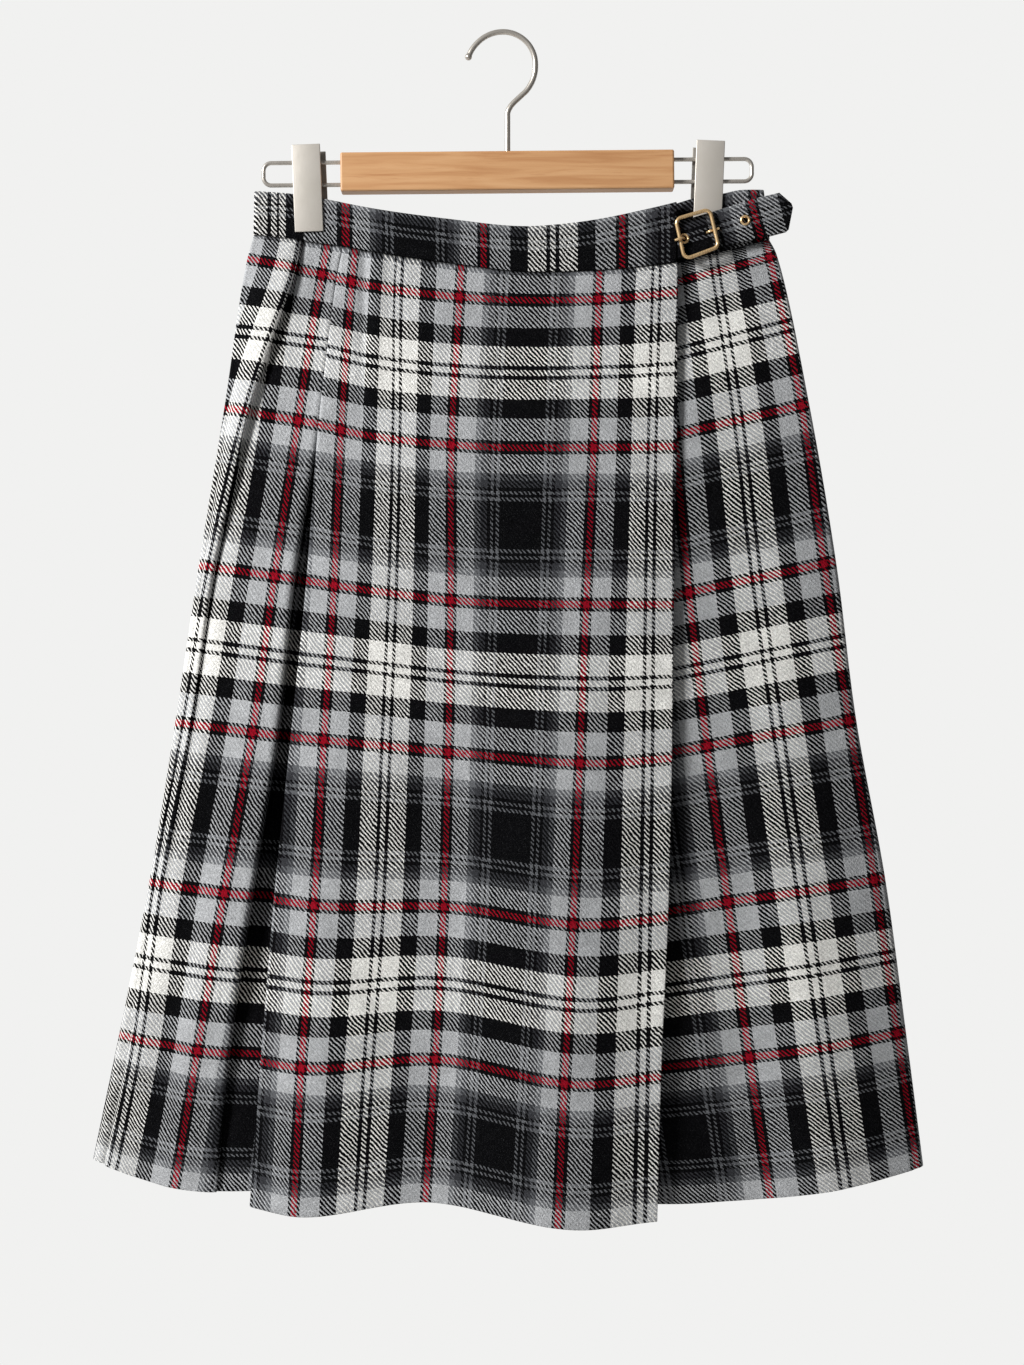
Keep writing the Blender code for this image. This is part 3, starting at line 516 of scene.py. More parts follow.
def bent_wire(name: str, points: Points, radius: float, cyclic: bool = False) -> bpy.types.Object:
    """A round wire along a line of points, as a closed mesh.

    Args:
        name: The piece's name.
        points: The line that its middle follows.
        radius: Half its thickness.
        cyclic: Whether its ends meet.

    Returns:
        The wire.
    """
    pick_none()
    bpy.ops.curve.primitive_nurbs_path_add()
    wire = fresh(name)
    wire.location = (0, 0, 0)
    line = wire.data
    line.splines.clear()
    spline = line.splines.new("POLY")
    spline.points.add(len(points) - 1)
    spline.points.foreach_set("co", np.c_[points, np.ones(len(points))].ravel())
    spline.use_cyclic_u = cyclic
    line.bevel_depth = radius
    line.bevel_resolution = 5
    line.use_fill_caps = not cyclic
    pick(wire)
    bpy.ops.object.convert(target="MESH")
    face_outwards(wire)
    bpy.ops.object.shade_smooth_by_angle(angle=math.radians(50))
    return wire


def plate(name: str, size: Triple, place: Matrix, edge: float) -> bpy.types.Object:
    """A plate with rounded edges at a place of its own.

    Args:
        name: The piece's name.
        size: Its size each way.
        place: Where its middle goes, and its turn.
        edge: Rounding of its edges.

    Returns:
        The plate.
    """
    pick_none()
    bpy.ops.mesh.primitive_cube_add(size=1.0)
    made = fresh(name)
    made.scale = size
    settle_in_place(made)
    modify(made, "BEVEL", width=edge, segments=3, limit_method="ANGLE")
    made.matrix_world = place
    settle_in_place(made)
    bpy.ops.object.shade_smooth_by_angle(angle=math.radians(35))
    return made


def cut_or_join(obj: bpy.types.Object, other: bpy.types.Object, operation: str) -> None:
    """Cuts the other body out of this one or joins it on, and clears the other away."""
    modify(obj, "BOOLEAN", object=other, operation=operation, solver="EXACT")
    bpy.data.objects.remove(other, do_unlink=True)


def finish_piece(
    obj: bpy.types.Object, material: bpy.types.Material, slot: str, *nodes: str
) -> bpy.types.Object:
    """Gives a piece its finish, its material slot, its body and the nodes it stands for.

    Args:
        obj: The piece.
        material: Its finish.
        slot: The slot's name; not used.
        *nodes: The CAD nodes it stands for.

    Returns:
        The same piece.
    """
    obj.data.materials.clear()
    obj.data.materials.append(material)
    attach(obj, BODY)
    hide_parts(*nodes)
    log.info("%s stands for %s", obj.name, ", ".join(nodes))
    return obj


# ---------------------------------------------------------------- finishes


def linear(colour: Colour) -> tuple[float, float, float, float]:
    """A colour of 0 to 255 as a screen shows it, turned into light."""
    parts = [c / 255 for c in colour]
    light = [c / 12.92 if c <= 0.04045 else ((c + 0.055) / 1.055) ** 2.4 for c in parts]
    return (*light, 1.0)


class Mixing:
    """The nodes of one finish, with short calls for what the finishes need."""

    def __init__(
        self, owner: bpy.types.Material | bpy.types.World, shader: str = "Principled BSDF"
    ) -> None:
        """Turns on the nodes of a material, or of a world with its own shader."""
        owner.use_nodes = True
        self.tree = owner.node_tree
        self.shader = self.tree.nodes[shader]

    def node(self, kind: str, feeds: dict | None = None, **settings: object) -> bpy.types.Node:
        """Adds a node, sets it up and feeds its sockets with numbers or other sockets.

        Args:
            kind: The node's type, without what all of them share.
            feeds: Numbers, colours or sockets by input.
            **settings: What is set on the node.

        Returns:
            The node.
        """
        made = self.tree.nodes.new("ShaderNode" + kind)
        for key, value in settings.items():
            setattr(made, key, value)
        for key, value in (feeds or {}).items():
            self.feed(made.inputs[key], value)
        return made

    def feed(self, socket: Socket, value: object) -> None:
        """Links a socket, or sets its number or colour.

        Args:
            socket: The input.
            value: What goes in.
        """
        if isinstance(value, Socket):
            self.tree.links.new(value, socket)
        else:
            socket.default_value = value

    def sum(self, operation: str, *values: object) -> Socket:
        """One step of arithmetic."""
        return self.node("Math", dict(enumerate(values)), operation=operation).outputs[0]

    def noise(
        self, vector: object, scale: float, detail: float = 2.0, **more: float
    ) -> bpy.types.Node:
        """A cloud of noise on a vector."""
        feeds = {"Vector": vector, "Scale": scale, "Detail": detail}
        feeds.update({key.replace("_", " ").title(): value for key, value in more.items()})
        return self.node("TexNoise", feeds)

    def range(
        self, value: object, start: float, end: float, low: float, high: float
    ) -> Socket:
        """Value from start to end, turned softly into low to high."""
        feeds = dict(enumerate((value, start, end, low, high)))
        return self.node("MapRange", feeds, interpolation_type="SMOOTHSTEP").outputs[0]

    def ramp(self, value: object, stops: list, mode: str = "LINEAR") -> Socket:
        """Colours read along a line from 0 to 1.

        Args:
            value: Where the line is read.
            stops: Places and colours, rising.
            mode: How colours pass from stop to stop.

        Returns:
            The colour.
        """
        node = self.node("ValToRGB", {0: value})
        colours = node.color_ramp
        colours.interpolation = mode
        while len(colours.elements) < len(stops):
            colours.elements.new(0.5)
        for element, (place, colour) in zip(colours.elements, stops):
            element.position = place
            element.color = linear(colour)
        return node.outputs[0]

    def mix(self, part: object, first: object, second: object, how: str = "MIX") -> Socket:
        """Two colours mixed, or one laid on the other.

        Args:
            part: Share of the second colour.
            first: The first colour.
            second: The second colour.
            how: The way of mixing.

        Returns:
            The colour.
        """
        node = self.node("Mix", None, data_type="RGBA", blend_type=how)
        for index, value in ((0, part), (6, first), (7, second)):
            self.feed(node.inputs[index], value)
        return node.outputs[2]

    def units(self, name: str) -> Socket:
        """Units of cloth read from one of its maps."""
        feeds = {0: self.node("UVMap", uv_map=name).outputs[0], 3: UNITS_TO_MAP}
        return self.node("VectorMath", feeds, operation="SCALE").outputs[0]

    def grey(self, value: object) -> Socket:
        """A number as a grey."""
        return self.node("CombineColor", {0: value, 1: value, 2: value}).outputs[0]

    def bump(self, height: object, distance: float, strength: float = 1.0) -> None:
        """Small relief on the shader."""
        feeds = {"Height": height, "Distance": distance, "Strength": strength}
        self.feed(self.shader.inputs["Normal"], self.node("Bump", feeds).outputs[0])

    def noise_level(self, vector: object, scale: float, detail: float, **more: float) -> Socket:
        """How dense a cloud of noise is."""
        return self.noise(vector, scale, detail, **more).outputs[0]

    def shade(self, **values: object) -> None:
        """Feeds the shader's sockets."""
        for key, value in values.items():
            self.feed(self.shader.inputs[key.replace("_", " ")], value)


class Yarn(Enum):
    """Dyed yarns of the cloth."""

    CREAM = (252, 251, 247)
    PALE = (187, 189, 192)
    GREY = (104, 106, 110)
    CHARCOAL = (60, 61, 65)
    BLACK = (12, 12, 14)
    RED = (156, 14, 34)


@dataclass(frozen=True)
class CheckedWool:
    """Brushed wool twill in a check that mirrors at each middle of cream and of black."""

    repeat: float = 110.0
    cream_middle: float = 55.0
    sett: tuple[tuple[float, Yarn], ...] = (
        (0.0, Yarn.CREAM),
        (2.0, Yarn.BLACK),
        (4.8, Yarn.CREAM),
        (19.6, Yarn.BLACK),
        (33.6, Yarn.PALE),
        (49.9, Yarn.BLACK),
        (52.7, Yarn.RED),
        (57.3, Yarn.BLACK),
        (60.1, Yarn.PALE),
        (73.5, Yarn.GREY),
        (78.5, Yarn.CHARCOAL),
        (83.6, Yarn.BLACK),
        (86.0, Yarn.GREY),
        (88.4, Yarn.BLACK),
        (90.6, Yarn.GREY),
        (93.0, Yarn.BLACK),
    )
    twill_across: float = 3.25
    twill_down: float = 3.45
    ragged: float = 0.9
    sway: float = 0.5
    dark_share: float = 0.12
    # Painted shade: the seam range darkens the top edge of each panel, just under the waistband,
    # where shade falls.
    seam: tuple[float, ...] = (-22.0, -20.4, 0.12, 1.0)
    hair: Colour = (96, 97, 100)

    def material(self, name: str) -> bpy.types.Material:
        """The cloth's material, on the piece's own check chart and thread lengths.

        Args:
            name: The material's name.

        Returns:
            The material.
        """
        made = bpy.data.materials.new(name)
        mix = Mixing(made)
        chart, thread = mix.units(CHECK_MAP), mix.units(THREAD_MAP)
        check = mix.node("SeparateXYZ", {0: chart}).outputs
        place = mix.node("SeparateXYZ", {0: thread}).outputs
        rag = mix.node("SeparateColor", {0: mix.noise(thread, 0.7, 1.0).outputs["Color"]}).outputs
        stops = [(place_of / self.repeat, yarn.value) for place_of, yarn in self.sett]
        dyed, run = [], []
        for axis in (0, 1):
            shift = mix.sum("MULTIPLY", mix.sum("SUBTRACT", rag[axis], 0.5), self.ragged)
            unit = mix.sum("SUBTRACT", mix.sum("ADD", check[axis], shift), self.cream_middle)
            apart = mix.sum("PINGPONG", unit, self.repeat)
            dyed.append(mix.ramp(mix.sum("DIVIDE", apart, self.repeat), stops, "CONSTANT"))
            run.append(mix.sum("ADD", place[axis], shift))
        across = mix.sum("DIVIDE", run[0], self.twill_across)
        down = mix.sum("DIVIDE", run[1], self.twill_down)
        sway = mix.sum("MULTIPLY", mix.noise_level(thread, 0.11, 2.0), self.sway * 2)
        phase = mix.sum("ADD", mix.sum("SUBTRACT", across, down), sway)
        rib = mix.sum("MULTIPLY", mix.sum("PINGPONG", phase, 0.5), 2.0)
        light = [mix.node("RGBToBW", {0: colour}).outputs[0] for colour in dyed]
        share = self.dark_share
        more = mix.range(mix.sum("SUBTRACT", *light), -0.08, 0.08, -share, share)
        weft = mix.range(mix.sum("ADD", rib, more), 0.42, 0.58, 0.0, 1.0)
        woven = mix.mix(weft, *dyed)
        fibre = mix.noise_level(thread, 0.55, 3.0, roughness=0.7, distortion=1.5)
        curl = mix.noise_level(thread, 0.3, 2.0, roughness=0.6, distortion=3.0)
        cloud = mix.noise_level(thread, 0.03, 2.0)
        thread_edge = mix.sum("ABSOLUTE", mix.sum("SUBTRACT", curl, 0.5))
        thin = mix.range(thread_edge, 0.0, 0.06, 0.76, 1.02)
        # Multiplier on the woven colour: fibre, curl and cloud tone of the wool, plus painted
        # shade on the twill ribs and under the waistband.
        shade = mix.sum("MULTIPLY", mix.range(fibre, 0.4, 0.6, 0.8, 1.1), thin)
        for value, ends in (
            # Painted shade: one side of each twill rib darker and the other lighter.
            (rib, (0.2, 0.8, 0.94, 1.04)),
            (cloud, (0.4, 0.6, 0.95, 1.04)),
            # Painted shade under the waistband, along the top edge of each panel.
            (check[1], self.seam),
        ):
            shade = mix.sum("MULTIPLY", shade, mix.range(value, *ends))
        base = mix.mix(1.0, woven, mix.grey(shade), "MULTIPLY")
        hairs = mix.noise_level(thread, 0.8, 1.0, distortion=4.0)
        stray = mix.range(hairs, 0.64, 0.7, 0.0, 0.3)
        rough = mix.range(fibre, 0.2, 0.8, 0.84, 1.0)
        mix.shade(Base_Color=mix.mix(stray, base, linear(self.hair)), Roughness=rough)
        relief = mix.sum("ADD", mix.sum("MULTIPLY", rib, 0.4), mix.sum("ADD", fibre, curl))
        mix.bump(relief, 1.0 * MM, 0.8)
        mix.shade(Specular_IOR_Level=0.02)
        return made


@dataclass(frozen=True)
class BeechWood:
    """Oiled pale beech with fine grain along the bar."""

    light: Colour = (212, 166, 120)
    middle: Colour = (203, 154, 108)
    dark: Colour = (186, 134, 90)
    band_grain: Triple = (14.0, 220.0, 220.0)
    pore_grain: Triple = (55.0, 700.0, 700.0)

    def material(self, name: str) -> bpy.types.Material:
        """The wood's material, on the bar's own length.

        Args:
            name: The material's name.

        Returns:
            The material.
        """
        made = bpy.data.materials.new(name)
        mix = Mixing(made)
        place = mix.node("TexCoord").outputs["Object"]
        long = mix.node("Mapping", {0: place, "Scale": self.band_grain}).outputs[0]
        fine = mix.node("Mapping", {0: place, "Scale": self.pore_grain}).outputs[0]
        bands = mix.noise_level(long, 1.0, 4.0, distortion=0.8)
        pores = mix.noise_level(fine, 1.0, 2.0)
        stops = [(0.28, self.dark), (0.5, self.middle), (0.74, self.light)]
        wood = mix.ramp(bands, stops)
        fleck = mix.range(pores, 0.62, 0.74, 0.0, 0.4)
        rough = mix.range(bands, 0.3, 0.7, 0.42, 0.55)
        mix.shade(Base_Color=mix.mix(fleck, wood, linear(self.dark)), Roughness=rough)
        mix.bump(mix.sum("ADD", bands, pores), 0.12 * MM, 0.5)
        mix.shade(Specular_IOR_Level=0.4)
        return made


@dataclass(frozen=True)
class Metal:
    """Metal with a fine brushed or cast surface and a little wear."""

    colour: Colour
    worn: Colour
    roughness: float
    metallic: float = 0.6
    grain: Triple = (2500.0, 2500.0, 120.0)
    cloud: float = 60.0
    spread: float = 0.05
    relief: float = 0.004 * MM

    def material(self, name: str) -> bpy.types.Material:
        """The metal's material, on object coordinates.

        Args:
            name: The material's name.

        Returns:
            The material.
        """
        made = bpy.data.materials.new(name)
        mix = Mixing(made)
        place = mix.node("TexCoord").outputs["Object"]
        stretched = mix.node("Mapping", {0: place, "Scale": self.grain}).outputs[0]
        grain = mix.noise_level(stretched, 1.0, 3.0)
        cloud = mix.noise_level(place, self.cloud, 2.0)
        colour = mix.ramp(cloud, [(0.3, self.colour), (0.75, self.worn)])
        ends = (self.roughness - self.spread, self.roughness + self.spread)
        mix.shade(Base_Color=colour, Roughness=mix.range(grain, 0.25, 0.75, *ends))
        mix.bump(grain, self.relief, 0.5)
        mix.shade(Metallic=self.metallic)
        return made


@dataclass(frozen=True)
class PlainFloor:
    """Pale matt floor."""

    colour: Colour = (236, 235, 233)

    def material(self, name: str) -> bpy.types.Material:
        """The floor's material.

        Args:
            name: The material's name.

        Returns:
            The material.
        """
        made = bpy.data.materials.new(name)
        mix = Mixing(made)
        cloud = mix.noise_level(mix.node("TexCoord").outputs["Object"], 3.0, 2.0)
        stops = [(0.3, self.colour), (0.7, tuple(c + 3 for c in self.colour))]
        mix.shade(Base_Color=mix.ramp(cloud, stops), Roughness=0.9)
        return made


# ---------------------------------------------------------------- cloth


class Charting:
    """Turns a length of cloth below the seam into check units."""

    DROPS = (0, 22, 131, 240, 350, 461, 573, 678)
    DOWN = (-22, 0, 110, 220, 330, 440, 550, 655)

    @classmethod
    def down(cls, drops: Points) -> Points:
        """Check units down the cloth."""
        return np.interp(drops / MM, cls.DROPS, cls.DOWN)


@dataclass
class Cloth:
    """What the skirt's cloth panels share."""

    form: HungForm
    material: bpy.types.Material
    wall: float = 1.6 * MM
    edge: float = 0.45 * MM
    rows: int = 171
    node: str = ""
    band_name: str = "waistband_front_cloth"
    dark_pitch: float = 0.88 * MM

    def drops(self) -> Points:
        """Lengths of cloth below the seam, a row each, evenly spaced."""
        return CUT_LENGTH * np.linspace(0, 1, self.rows)

    def height(self, x: Points, drop: float) -> Points:
        """Z of the panel's row."""
        raise NotImplementedError

    def row(self, drop: float) -> tuple[Points, Points, Points]:
        """X, smooth y and check units across at each point of one row."""
        raise NotImplementedError

    def anchor(self) -> Points:
        """X in each row of one straight thread down the cloth."""
        raise NotImplementedError

    def soften(self, x: Points, z: Points, drop: float) -> Points:
        """How far soft wool stands off the smooth row, towards +Y."""
        return -self.form.crumple(x, z, drop)

    def build(self) -> bpy.types.Object:
        """Weaves the panel from its rows, and dresses it.

        Returns:
            The piece.
        """
        drops = self.drops()
        rows, units = [], []
        for drop in drops:
            x, y, across = self.row(drop)
            z = self.height(x, drop)
            rows.append(np.stack([x, y + self.soften(x, z, drop), z], axis=1))
            units.append(across)
        points, across = np.array(rows), np.array(units)
        down = np.broadcast_to(Charting.down(drops)[:, None], across.shape)
        chart = np.stack([across, down], axis=2)
        name = f"{self.node}_cloth"
        made = weave_sheet(name, points, chart, self.anchor(), self.wall, self.edge)
        finish_piece(made, self.material, "checked_wool", self.node)
        area = float(sum(self.row_area(a, b) for a, b in zip(points, points[1:])))
        return made

    @staticmethod
    def row_area(upper: Points, lower: Points) -> float:
        """Area of the cloth between two rows."""
        across = np.cross(upper[1:] - upper[:-1], lower[:-1] - upper[:-1])
        return np.linalg.norm(across, axis=1).sum()


@dataclass
class FrontApron(Cloth):
    """Wrap-over front: its left edge is pressed under, its right edge hangs free."""

    node: str = "front_apron"
    table: Table = Table(
        "drop left right z0 z12 z44 z80 z100",
        (0, -113.6, 123.6, -153.2, -158.4, -168.6, -169.1, -163.1),
        (22, -117.8, 123.5, -173.8, -180.4, -189.2, -189.0, -184.5),
        (131, -129.6, 122.5, -277.9, -285.1, -293.9, -294.5, -293.6),
        (240, -137.8, 120.1, -388.6, -393.7, -403.6, -405.7, -405.6),
        (350, -148.4, 118.4, -498.3, -501.0, -509.2, -516.2, -512.8),
        (461, -159.7, 115.2, -612.4, -616.2, -616.9, -628.7, -624.2),
        (573, -168.4, 110.0, -724.6, -728.0, -722.5, -737.8, -733.6),
        (678, -175.7, 106.9, -825.3, -830.3, -821.4, -837.1, -833.2),
    )
    lines: Table = Table(
        "drop red_a first red_b red_c pair",
        (0, -104.4, -73.6, -29.7, 68.4, 108.6),
        (22, -106.5, -74.6, -31.0, 67.8, 108.1),
        (131, -113.7, -75.0, -36.5, 64.1, 105.0),
        (240, -118.3, -77.6, -36.9, 58.6, 102.8),
        (350, -125.0, -81.8, -38.5, 53.7, 101.3),
        (461, -131.5, -86.5, -41.4, 48.6, 99.2),
        (573, -139.7, -93.5, -47.2, 42.6, 96.9),
        (678, -144.7, -99.4, -54.1, 37.7, 94.6),
    )
    folds: tuple[Fold, ...] = (
        Fold(-97.5, -112.0, -2.6, 0.0, 4.0, 0),
        Fold(-90.0, -104.0, 1.6, 0.0, 6.0, 0),
        Fold(-96.0, -139.0, 0.0, 6.0, 34.0, 120),
        Fold(-40.0, -52.0, 0.0, -9.0, 48.0, 90),
        Fold(38.0, 46.0, 0.0, 6.5, 52.0, 60),
        Fold(118.0, 92.0, 0.0, -3.0, 22.0, 200),
    )
    places: tuple[float, ...] = (0.0, 0.12, 0.44, 0.80, 1.0)
    lift: float = 1.2 * MM
    edge_lift: float = 2.4 * MM
    turn: float = 1.4 * MM
    layer: float = 2.05 * MM
    return_slope: float = 0.12
    under_reach: tuple[float, float] = (22.0, 2.6)
    turn_points: int = 9
    face_start: float = 0.012
    face_points: int = 104
    dark_pitch: float = 0.87 * MM
    past: float = 60 * MM
    line_units: tuple[float, ...] = (0.0, 55.0, 110.0, 165.0, 220.0, 275.0, 302.5)

    def height(self, x: Points, drop: float) -> Points:
        """Z of the apron's row.

        Args:
            x: Places across, in metres.
            drop: Length of cloth below the seam.

        Returns:
            Z at each place.
        """
        left, right = self.table.at("left", drop), self.table.at("right", drop)
        heights = [self.table.at(name, drop) for name in ("z0", "z12", "z44", "z80", "z100")]
        level = through(self.places, heights, (x - left) / (right - left))
        return self.form.row_height(level, x, drop)

    def depth(self, x: Points, drop: float) -> Points:
        """Y of the apron's surface.

        Args:
            x: Places across, in metres.
            drop: Length of cloth below the seam.

        Returns:
            Y at each place.
        """
        left, right = self.table.at("left", drop), self.table.at("right", drop)
        part = np.clip((x - left) / (right - left), 0.0, 1.0)
        lift = self.lift * ease(drop / self.form.settle)
        lift = lift + self.edge_lift * part * drop / CUT_LENGTH
        folds = sum(fold.height(x, drop) for fold in self.folds)
        return self.form.front_depth(x, drop) - lift - folds

    def behind(self, x: Points, drop: float, layers: int) -> Points:
        """Y of the layers behind the left fold: 1 its return, 2 the panel's underlay.

        Args:
            x: Places across, in metres.
            drop: Length of cloth below the seam.
            layers: Which layer.

        Returns:
            Y at each place.
        """
        left = self.table.at("left", drop)
        away = np.maximum(x - left, 0.0)
        step = 2 * self.turn + self.layer * (layers - 1)
        level = self.depth(np.maximum(x, left), drop) + step
        return level + away * self.return_slope * drop / CUT_LENGTH

    def units(self, x: Points, drop: float) -> Points:
        """Check units across at x.

        Args:
            x: Places across, in metres.
            drop: Length of cloth below the seam.

        Returns:
            Units at each place.
        """
        names = ("red_a", "first", "red_b", "red_c", "pair")
        red_a, first, red_b, red_c, pair = (float(self.lines.at(n, drop)) for n in names)
        past = self.past
        end = pair + (pair - red_c) / 2
        knots = (red_a - past, red_a, first, red_b, (red_b + red_c) / 2, red_c, pair, end)
        return np.interp(x, knots, (-past / self.dark_pitch, *self.line_units))

    def row(self, drop: float) -> tuple[Points, Points, Points]:
        """The return behind the pressed left edge, the edge's turn and the face.

        Args:
            drop: Length of cloth below the seam.

        Returns:
            X, y and check units at each point.
        """
        left, right = self.table.at("left", drop), self.table.at("right", drop)
        back_x = left + np.linspace(*self.under_reach, self.turn_points) * MM
        angles = np.radians(np.linspace(90, -90, self.turn_points))
        middle = self.depth(left, drop) + self.turn
        arc_x = left + self.turn * (1 - np.cos(angles))
        face_x = left + (right - left) * np.linspace(self.face_start, 1.0, self.face_points)
        xs = np.concatenate([back_x, arc_x, face_x])
        arc_y = middle + self.turn * np.sin(angles)
        ys = np.concatenate([self.behind(back_x, drop, 1), arc_y, self.depth(face_x, drop)])
        across = self.units(xs, drop)
        under = len(back_x) + len(angles) // 2
        across[:under] = 2 * self.units(left, drop) - across[:under]
        return xs, ys, across

    def anchor(self) -> Points:
        """X of the red line in the middle of the apron."""
        return self.lines.at("red_b", self.drops())


@dataclass
class LeftPanel(Cloth):
    """Side panel: round the left side, a pressed edge, and an open pleat to the apron."""

    node: str = "left_panel"
    apron: FrontApron | None = None
    table: Table = Table(
        "drop step step_height roll roll_width open seam_z sag",
        (0, -143.0, 2.6, -114.6, 0.6, 0.0, -152.6, 0.0),
        (22, -146.3, 4.4, -118.8, 0.6, 0.0, -173.2, 0.0),
        (80, -163.0, 5.4, -125.0, 0.8, 0.0, -224.0, 0.0),
        (131, -179.4, 5.4, -131.3, 0.8, 4.0, -277.5, 0.0),
        (185, -192.0, 4.4, -140.2, 1.4, 10.0, -333.0, 0.0),
        (240, -205.0, 3.0, -149.4, 1.8, 12.0, -388.5, 0.0),
        (350, -221.0, 1.0, -161.0, 2.2, 13.5, -498.3, 0.0),
        (461, -241.0, 0.0, -179.5, 3.0, 13.5, -611.3, 1.0),
        (573, -262.5, -2.2, -197.0, 5.0, 10.0, -721.7, 2.0),
        (678, -281.5, -4.4, -206.0, 5.0, 6.0, -816.3, 7.0),
    )
    lines: Table = Table(
        "drop pair red",
        (0, -142.2, -125.0),
        (22, -145.9, -128.6),
        (131, -179.9, -145.0),
        (240, -205.5, -161.3),
        (350, -223.3, -176.4),
        (461, -244.2, -196.0),
        (573, -257.2, -214.4),
        (678, -275.1, -230.4),
    )
    folds: tuple[Fold, ...] = (
        Fold(-150.0, -246.0, 0.0, 4.0, 30.0, 160),
        Fold(-134.0, -256.0, 0.0, -5.0, 9.0, 120),
    )
    wrap: float = 10 * MM
    pleat_turn: float = 1.0 * MM
    shoulder: float = 0.7 * MM
    pitch: float = 0.78 * MM
    open_until: float = 215 * MM
    rise_parts: tuple[float, ...] = (0.3, 0.6, 0.97)
    fall_parts: tuple[float, ...] = (0.15, 0.4, 0.65, 0.88)
    mouth: tuple[tuple[float, float], ...] = (
        (0.0, 0.03),
        (0.6, 0.1),
        (0.95, 0.3),
        (0.9, 0.65),
        (0.4, 0.97),
    )
    floor_parts: tuple[float, ...] = (0.5, 0.95)
    underlay: tuple[float, ...] = (2.6, 7.0, 11.0, 16.5, 22.0, 27.0)
    parts: int = 4
    turn_strides: int = 10

    def height(self, x: Points, drop: float) -> Points:
        """Z of the panel's row.

        Args:
            x: Places across, in metres.
            drop: Length of cloth below the seam.

        Returns:
            Z at each place.
        """
        left = self.form.sides.at("left", drop)
        right = self.apron.table.at("left", drop)
        x = np.maximum(x, left)
        part = (x - left) / (right - left)
        start, end = self.form.sides.at("left_z", drop), self.table.at("seam_z", drop)
        sag = self.table.at("sag", drop) * np.sin(np.pi * np.minimum(part, 1.0))
        return self.form.row_height(start + (end - start) * part - sag, x, drop)

    def depth(self, x: Points, drop: float) -> Points:
        """Y of the panel before its pressed edge and its turn into the pleat."""
        folds = sum(fold.height(x, drop) for fold in self.folds)
        return self.form.front_depth(x, drop) - folds

    def profile(self, drop: float) -> Points:
        """(x, y) of the panel's row, from the back seam to the underlay's end.

        Args:
            drop: Length of cloth below the seam.

        Returns:
            The points, a row each.
        """
        edge = self.form.sides.at("left", drop)
        radius = self.form.side_radius(drop)
        step, rise = self.table.at("step", drop), self.table.at("step_height", drop)
        roll, opened = self.table.at("roll", drop), self.table.at("open", drop)
        seam = self.apron.table.at("left", drop)
        front = edge + radius
        turn = self.form.side_turn(edge, drop, 1, self.wrap)
        ahead = self.depth(front, drop) + radius
        raised, lowered = max(rise, 0.0), max(-rise, 0.0)
        made = []
        for part in self.rise_parts:
            x = front + (step - front) * part
            level = self.depth(x, drop) - ahead * (1 - part)
            made.append((x, level - raised * ease(part * 2) + lowered * part))
        base = self.depth(step, drop)
        made.append((step + self.pleat_turn * 0.4, base - raised * 0.6 + lowered * 0.4))
        made.append((step + self.pleat_turn, base))
        for part in self.fall_parts:
            x = step + self.pleat_turn + (roll - step - self.pleat_turn) * part
            made.append((x, self.depth(x, drop)))
        floor = self.apron.behind(seam, drop, 2) + opened
        top = self.depth(roll, drop)
        width = self.table.at("roll_width", drop)
        for part, down in self.mouth:
            made.append((roll + width * part, top + (floor - top) * down))
        inside = roll + width
        for part in self.floor_parts:
            made.append((inside + (seam - inside) * part, floor))
        for reach in self.underlay:
            x = seam + reach * MM
            made.append((x, self.apron.behind(x, drop, 2) + opened))
        return np.concatenate([turn, np.array(made, float)])

    def row(self, drop: float) -> tuple[Points, Points, Points]:
        """The profile with more points, and its check units."""
        profile = dense(self.profile(drop), self.parts)
        units = self.front_units(profile[:, 0], along(profile), drop)
        return profile[:, 0], profile[:, 1], units

    def anchor(self) -> Points:
        """X of the red line on the face."""
        return self.lines.at("red", self.drops())

    def front_units(self, xs: Points, line: Points, drop: float) -> Points:
        """Check units by place on the face, and by length round the side.

        Args:
            xs: X of the row's points.
            line: Length along the row at each point.
            drop: Length of cloth below the seam.

        Returns:
            Units at each point.
        """
        front = self.parts * self.turn_strides
        pair, red = float(self.lines.at("pair", drop)), float(self.lines.at("red", drop))
        step = float(self.table.at("step", drop)) - self.shoulder
        opened = ease((drop - 60 * MM) / self.open_until)
        pitch = self.pitch * (1 - opened) + (red - pair) / 55 * opened
        right_part = 110 + (xs - red) / np.where(xs < red, pitch, self.dark_pitch)
        left_part = 55 + (xs - pair) / self.pitch
        across = np.where(xs < step, left_part, right_part)
        if opened >= 1.0:
            across = np.where(xs < pair, left_part, right_part)
        across[:front] = across[front] - (line[front] - line[:front]) / self.pitch
        turn = int(np.argmax(xs > self.table.at("roll", drop)))
        across[turn:] = across[turn] + (line[turn:] - line[turn]) / self.pitch
        return across


